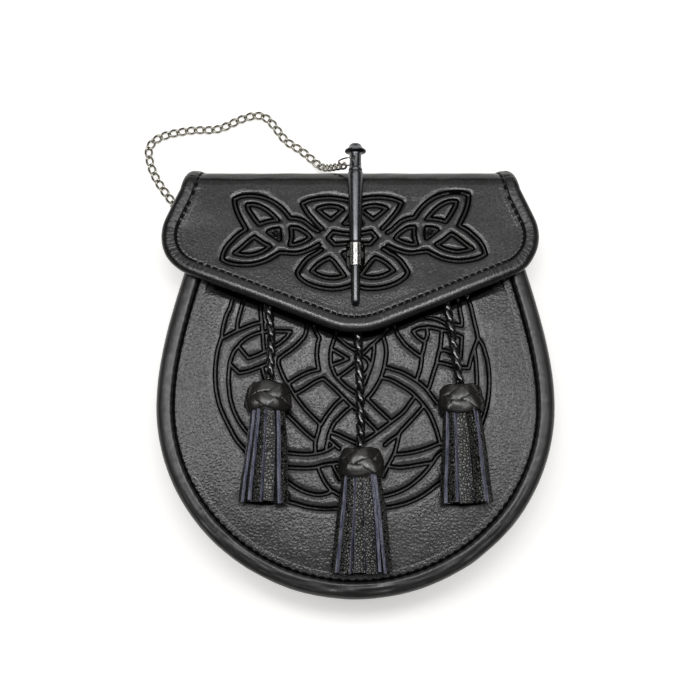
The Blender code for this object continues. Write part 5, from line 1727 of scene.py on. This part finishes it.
def make_gusset():
    """The side wall round the sides and foot: it bulges at half height and creases a little."""
    path, outward = body_path(FRONT_TOP_Y - 1.5, 360)
    run = run_along(path)[:, None]
    share = np.linspace(0.0, 1.0, 15)[None]
    low = BACK_THICK + GAP
    crease = 0.28 * rumple(run / 9.0, share * 3.0, 51) + 0.12 * rumple(run / 2.6, share * 5.0, 52)
    walls = []
    for inset, bulge in ((GUSSET_INSET, GUSSET_BOW + crease), (GUSSET_INSET + GUSSET_THICK, GUSSET_BOW)):
        bow = bulge * np.sin(math.pi * share)
        flat = path[:, None] - outward[:, None] * (inset - bow)[..., None]
        high = seam_height(flat[..., 1]) - FRONT_THICK - GAP
        walls.append(np.dstack([flat, low + share * (high - low)]))
    points = np.concatenate([walls[0], walls[1][:, ::-1]], 1)
    make_tube("side_gusset", points, PLAIN_LEATHER, "black_leather", ("gusset",), sharp=50)


# The back's edge: (inset, height from the nearer face) of its under side, with a turned line pressed along
# it, and of its upper side
BACK_UNDER = [
    (0.0, 0.5), (0.12, 0.2), (0.5, 0.0), (3.0, 0.0), (3.3, 0.22), (3.7, 0.22), (4.0, 0.0), (20.0, 0.0),
]
BACK_OVER = [(0.0, 0.6), (0.4, 0.1), (3.0, 0.0), (20.0, 0.0)]


def make_back():
    """The flat back: a sheet with softly rounded edges and a turned line pressed along them."""
    outline = panel_outline(BACK_TOP_Y, BACK_INSET, 400, 120)
    middle = np.array([0.0, DOME_CENTRE[1]])
    reach = np.linalg.norm(outline - middle, axis=1, keepdims=True)
    rings = BACK_UNDER[::-1] + [(inset, BACK_THICK - height) for inset, height in BACK_OVER]
    flats = [middle + (outline - middle) * (1 - inset / reach) for inset, _ in rings]
    rows, columns = len(rings), len(outline)
    points = [np.column_stack([flat, np.full(columns, z)]) for flat, (_, z) in zip(flats, rings)]
    points += [[(*middle, 0.0)], [(*middle, BACK_THICK)]]
    rim = np.append(np.arange(columns), 0)
    blocks = [
        grid_faces(rows, columns, wrap_columns=True),
        fan_faces(rim[::-1], rows * columns),
        fan_faces((rows - 1) * columns + rim, rows * columns + 1),
    ]
    make_piece(
        "flat_back", np.concatenate(points), blocks, PLAIN_LEATHER, "black_leather", ("back_panel",), sharp=40
    )


make_flap()
make_binding()
make_seam(
    "flap_seam", along_flap_edge(FLAP_SEAM_SECTION, 1600, flap_seam_beads), FLAP_SEAM_SECTION,
    FLAP_CREVICE_INSET, FLAP_LEATHER,
)
make_flap_stitches()
make_rim()
make_rim_seam()
make_rim_stitches()
make_gusset()
make_back()


PEG_SLANT = math.hypot(1.0, PEG_SLOPE)  # length along the peg for each mm of y
PEG_NORMAL = np.array([0.0, PEG_SLOPE, 1.0]) / PEG_SLANT
# Peg's outline, from the top of its domed head to its tip: along and radius
PEG_OUTLINE = [
    (0.0, 0.02), (0.02, 0.7), (0.12, 1.4), (0.35, 2.1), (0.75, 2.65), (1.3, 3.05), (1.9, 3.35), (2.5, 3.7),
    (3.1, 4.35), (3.5, 5.0), (3.8, 5.3), (4.2, 5.35), (4.55, 5.2), (4.75, 4.7), (4.85, 3.7), (4.95, 3.2),
    (5.3, 3.0), (6.0, 2.95), (9.0, 2.9), (12.4, 2.95), (12.8, 3.05), (13.1, 3.25), (13.5, 3.38), (13.9, 3.4),
    (14.3, 3.3), (14.6, 3.1), (14.75, 3.05), (14.95, 3.35), (15.2, 3.65), (15.6, 3.78), (17.0, 3.8),
    (25.0, 3.56), (34.0, 3.3), (43.0, 3.0), (50.6, 2.72), (51.1, 2.6), (51.3, 2.35), (51.45, 2.17),
    (51.8, 2.15), (62.0, 2.15), (80.4, 2.15), (81.0, 2.08), (81.6, 1.9), (82.2, 1.5), (82.55, 0.95),
    (82.7, 0.4), (82.72, 0.02),
]
# Cross hole with its rounded mouths: distance from the peg's axis and radius
PEG_HOLE_OUTLINE = [
    (-8.0, 1.55), (-2.95, 1.55), (-2.6, PEG_HOLE_RADIUS), (2.6, PEG_HOLE_RADIUS), (2.95, 1.55), (8.0, 1.55),
]


def peg_point(along):
    """A point on the peg's axis, at a distance from the head's top."""
    y = PEG_HEAD_Y - along / PEG_SLANT
    return np.array([0.0, y, PEG_Z_AT_LOOP + PEG_SLOPE * (LOOP_Y - y)])


def cut_out(piece, points):
    """Takes a tube, rows of points round it, out of a piece and applies the cut."""
    blocks = [np.atleast_2d(block) for block in tube_faces(*points.shape[:2])]
    flat = points.reshape(-1, 3)
    faces = [tuple(int(k) for k in face) for block in blocks for face in block]
    if volume_of(flat - flat.mean(0), blocks) < 0:
        faces = [face[::-1] for face in faces]
    mesh = bpy.data.meshes.new("cutter")
    mesh.from_pydata([tuple(point) for point in flat * MM], [], faces)
    cutter = bpy.data.objects.new("cutter", mesh)
    scene.collection.objects.link(cutter)
    modifier = piece.modifiers.new("cut", "BOOLEAN")
    modifier.operation, modifier.solver, modifier.object = "DIFFERENCE", "EXACT", cutter
    bpy.context.view_layer.update()
    graph = bpy.context.evaluated_depsgraph_get()
    finished = bpy.data.meshes.new_from_object(piece.evaluated_get(graph))
    piece.modifiers.clear()
    piece.data = finished
    bpy.data.objects.remove(cutter, do_unlink=True)


def make_peg():
    """The turned peg: its outline spun round the axis, with a cross hole through the neck."""
    outline, turn = np.array(PEG_OUTLINE), turns(56)
    centre = np.array([peg_point(along) for along, _ in outline])
    spokes = np.outer(np.cos(turn), (1.0, 0.0, 0.0)) + np.outer(np.sin(turn), PEG_NORMAL)
    points = centre[:, None] + spokes[None] * outline[:, 1][:, None, None]
    peg = make_tube("turned_peg", points, DARK_CHROME, "dark_chrome", ("peg",), sharp=50)
    cosine, sine = math.cos(PEG_HOLE_TILT), math.sin(PEG_HOLE_TILT)
    reach, radius = np.array(PEG_HOLE_OUTLINE).T[:, :, None, None]
    turn = turns(28)
    ring = np.outer(np.cos(turn), (cosine, 0.0, sine)) + np.outer(np.sin(turn), (0.0, 1.0, 0.0))
    cut_out(peg, peg_point(PEG_HOLE_ALONG) + np.array([-sine, 0.0, cosine]) * reach + ring[None] * radius)


# The loop's band near its end, from the end inwards: distance and wall
LOOP_END = [(0.0, 0.35), (0.06, 0.5), (0.2, LOOP_WALL), (0.4, LOOP_WALL), (1.2, LOOP_WALL)]
LOOP_PLATE_EDGE = (0.97, 0.2)  # share of the plate's size at its faces, and the depth of that chamfer
LOOP_LEAN_HEIGHT = 2.0  # over the plate, where the band's ends lean as much as the peg's slope asks


def make_peg_loop():
    """The bright loop: an arch with rounded edges, carried along the peg, on a plate under the flap."""
    inner = ROD_RADIUS + GAP
    base_x, base_y, base_thick = LOOP_BASE
    base_low = front_height(0.0, LOOP_Y) + 2 * GAP
    base_top = base_low + base_thick
    arch = np.linspace(0, math.pi, 33)
    foot = base_top + LOOP_FLOOR
    inside = [(inner * math.cos(a), PEG_Z_AT_LOOP + inner * math.sin(a)) for a in arch]
    inside = [(inner, foot)] + inside + [(-inner, foot)]
    half = LOOP_LENGTH / 2
    band = []
    for y, wall in (
        [(-half + y, wall) for y, wall in LOOP_END] + [(half - y, wall) for y, wall in LOOP_END[::-1]]
    ):
        outer = inner + wall
        outside = [(outer * math.cos(a), PEG_Z_AT_LOOP + outer * math.sin(a)) for a in arch[::-1]]
        outline = inside + [(-outer, base_top)] + outside + [(outer, base_top)]
        lean = -PEG_SLOPE * y
        band.append([
            (x, LOOP_Y + y, z + lean * min(1.0, (z - base_top) / LOOP_LEAN_HEIGHT)) for x, z in outline
        ])
    band = np.array(band)
    rows, columns = band.shape[:2]
    blocks = [grid_faces(rows, columns, wrap_columns=True)]
    for first in (0, (rows - 1) * columns):
        strip = np.arange(columns // 2 - 1)
        back = columns - 1 - strip
        cap = np.stack([strip, strip + 1, back - 1, back], 1) + first
        blocks.append(cap if first else cap[:, ::-1])
    share, chamfer = LOOP_PLATE_EDGE
    levels = ((share, base_low), (1.0, base_low + chamfer), (1.0, base_top - chamfer), (share, base_top))
    corners = np.array([(-1, -1), (1, -1), (1, 1), (-1, 1)]) * (base_x / 2, base_y / 2)
    plate = np.array([[(x * size, LOOP_Y + y * size, z) for x, y in corners] for size, z in levels])
    points, blocks = join_parts([(band, blocks), (plate, tube_faces(*plate.shape[:2]))])
    make_piece("loop_band", points, blocks, BRIGHT_NICKEL, "bright_nickel", ("peg_loop",), sharp=40)


def wire(path, radius, sides, facing):
    """A round wire along a closed path whose section keeps its first corner towards facing."""
    tangent = tangents(path, closed=True)
    across = square_to(tangent, np.asarray(facing, float))
    return carried(path, across, np.cross(tangent, across), round_section(radius, sides), closed=True)


SIDES = {"left": -1, "right": 1}


def make_strap_rings():
    """The D rings: a straight bar and a bow squarer than an ellipse, bent from round wire."""
    turn = np.linspace(-math.pi / 2, math.pi / 2, 49)[1:-1]
    bow = np.stack([
        RING_BAR_X + RING_REACH * np.cos(turn) ** RING_BOW, RING_Y + RING_HALF_BAR * np.sin(turn),
    ], 1)
    bar_y = np.linspace(RING_Y + RING_HALF_BAR, RING_Y - RING_HALF_BAR, 9)
    bar = np.stack([np.full(9, RING_BAR_X), bar_y], 1)
    flat = equal_steps(np.vstack([bar, bow, bar[:1]]), 72, endpoint=False)
    for name, side in SIDES.items():
        path = np.column_stack([side * flat[:, 0], flat[:, 1], np.full(72, RING_Z)])
        part = wire(path, RING_WIRE, 18, (0.0, 0.0, 1.0))
        make_piece(f"d_ring_{name}", *part, BRIGHT_NICKEL, "bright_nickel", (f"strap_ring_{name}",))


# A tab's steps across: share of its length, and share of its thickness there
TAB_STEPS = [(-0.5, 0.93), (-0.485, 0.98), (-0.46, 1.0), (0.46, 1.0), (0.485, 0.98), (0.5, 0.93)]


def make_strap_tabs():
    """Each tab: a leather strip that comes from the gusset's foot, goes round the ring's bar and back."""
    root_x = half_width(RING_Y - TAB_LENGTH / 2) - BACK_INSET + 2 * GAP
    inner, outer = RING_WIRE + GAP, RING_WIRE + GAP + TAB_WALL
    arc = np.linspace(-math.pi / 2, math.pi / 2, 25)
    centre = np.array([RING_BAR_X, RING_Z])
    around = np.stack([np.cos(arc), np.sin(arc)], 1)
    root = [[(root_x, RING_Z + rise)] for rise in (-TAB_WALL, TAB_WALL)]
    outside = np.vstack([root[0], centre + outer * around * 0.999, root[1]])
    turn = np.linspace(0, 2 * math.pi, 40)[:-1]
    hole = centre + inner * np.stack([np.cos(turn), np.sin(turn)], 1)
    for name, side in SIDES.items():
        rings = [centre + (outside - centre) * (1.0, swell) for _, swell in TAB_STEPS]
        steps = [RING_Y + share * TAB_LENGTH for share, _ in TAB_STEPS]
        points = np.array([[(side * x, y, z) for x, z in ring] for y, ring in zip(steps, rings)])
        tab = make_tube(
            f"ring_tab_{name}", points, EDGE_LEATHER, "binding_leather", (f"strap_tab_{name}",), sharp=40
        )
        cut_out(tab, np.array([
            [(side * x, RING_Y + y, z) for x, z in hole] for y in (-TAB_LENGTH, TAB_LENGTH)
        ]))


def curb_links(centres, directions):
    """All links at once: an oval whose two ends are turned against each other, a round wire along it."""
    along = unit(directions)
    flat = unit(np.cross(np.broadcast_to([0.0, 0.0, 1.0], along.shape), along))
    up = np.cross(along, flat)
    turn = turns(22)[None, :, None]
    twist = LINK_TWIST / 2 * np.cos(turn)
    across = flat[:, None] * np.cos(twist) + up[:, None] * np.sin(twist)
    long, wide = along[:, None] * LINK_HALF_LENGTH * np.cos(turn), across * LINK_HALF_WIDTH * np.sin(turn)
    return centres[:, None] + long + wide, np.cross(np.broadcast_to(along[:, None], across.shape), across)


def make_chain():
    """Curb links at equal steps along the route, with a ring in the peg's hole and one on the strap ring."""
    length = run_along(spline(CHAIN_ROUTE, 400))[-1]
    ends = spline(CHAIN_ROUTE, round(length / LINK_PITCH) + 1)
    paths, facings = curb_links((ends[1:] + ends[:-1]) / 2, np.diff(ends, axis=0))
    parts = [wire(path, LINK_WIRE, 8, facing) for path, facing in zip(paths, facings)]
    peg_ring = spline(np.array(PEG_RING) + peg_point(PEG_HOLE_ALONG), 48, closed=True)
    parts.append(wire(peg_ring, PEG_RING_WIRE, 10, (0.0, 1.0, 0.0)))
    along = unit((ends[-1] - ends[-2]) * (1, 1, 0))
    centre = np.array([*ends[-1][:2], RING_Z + END_RING_LIFT]) + along * (END_RING_RADIUS - END_RING_OVERLAP)
    turn = turns(40)
    ring = centre + END_RING_RADIUS * (np.outer(np.cos(turn), along) + np.outer(np.sin(turn), (0, 0, 1)))
    parts.append(wire(ring, END_RING_WIRE, 10, np.cross(along, (0.0, 0.0, 1.0))))
    make_piece("curb_chain", *join_parts(parts), CHAIN_NICKEL, "bright_nickel", ("peg_chain",))


make_peg()
make_peg_loop()
make_strap_rings()
make_strap_tabs()
make_chain()
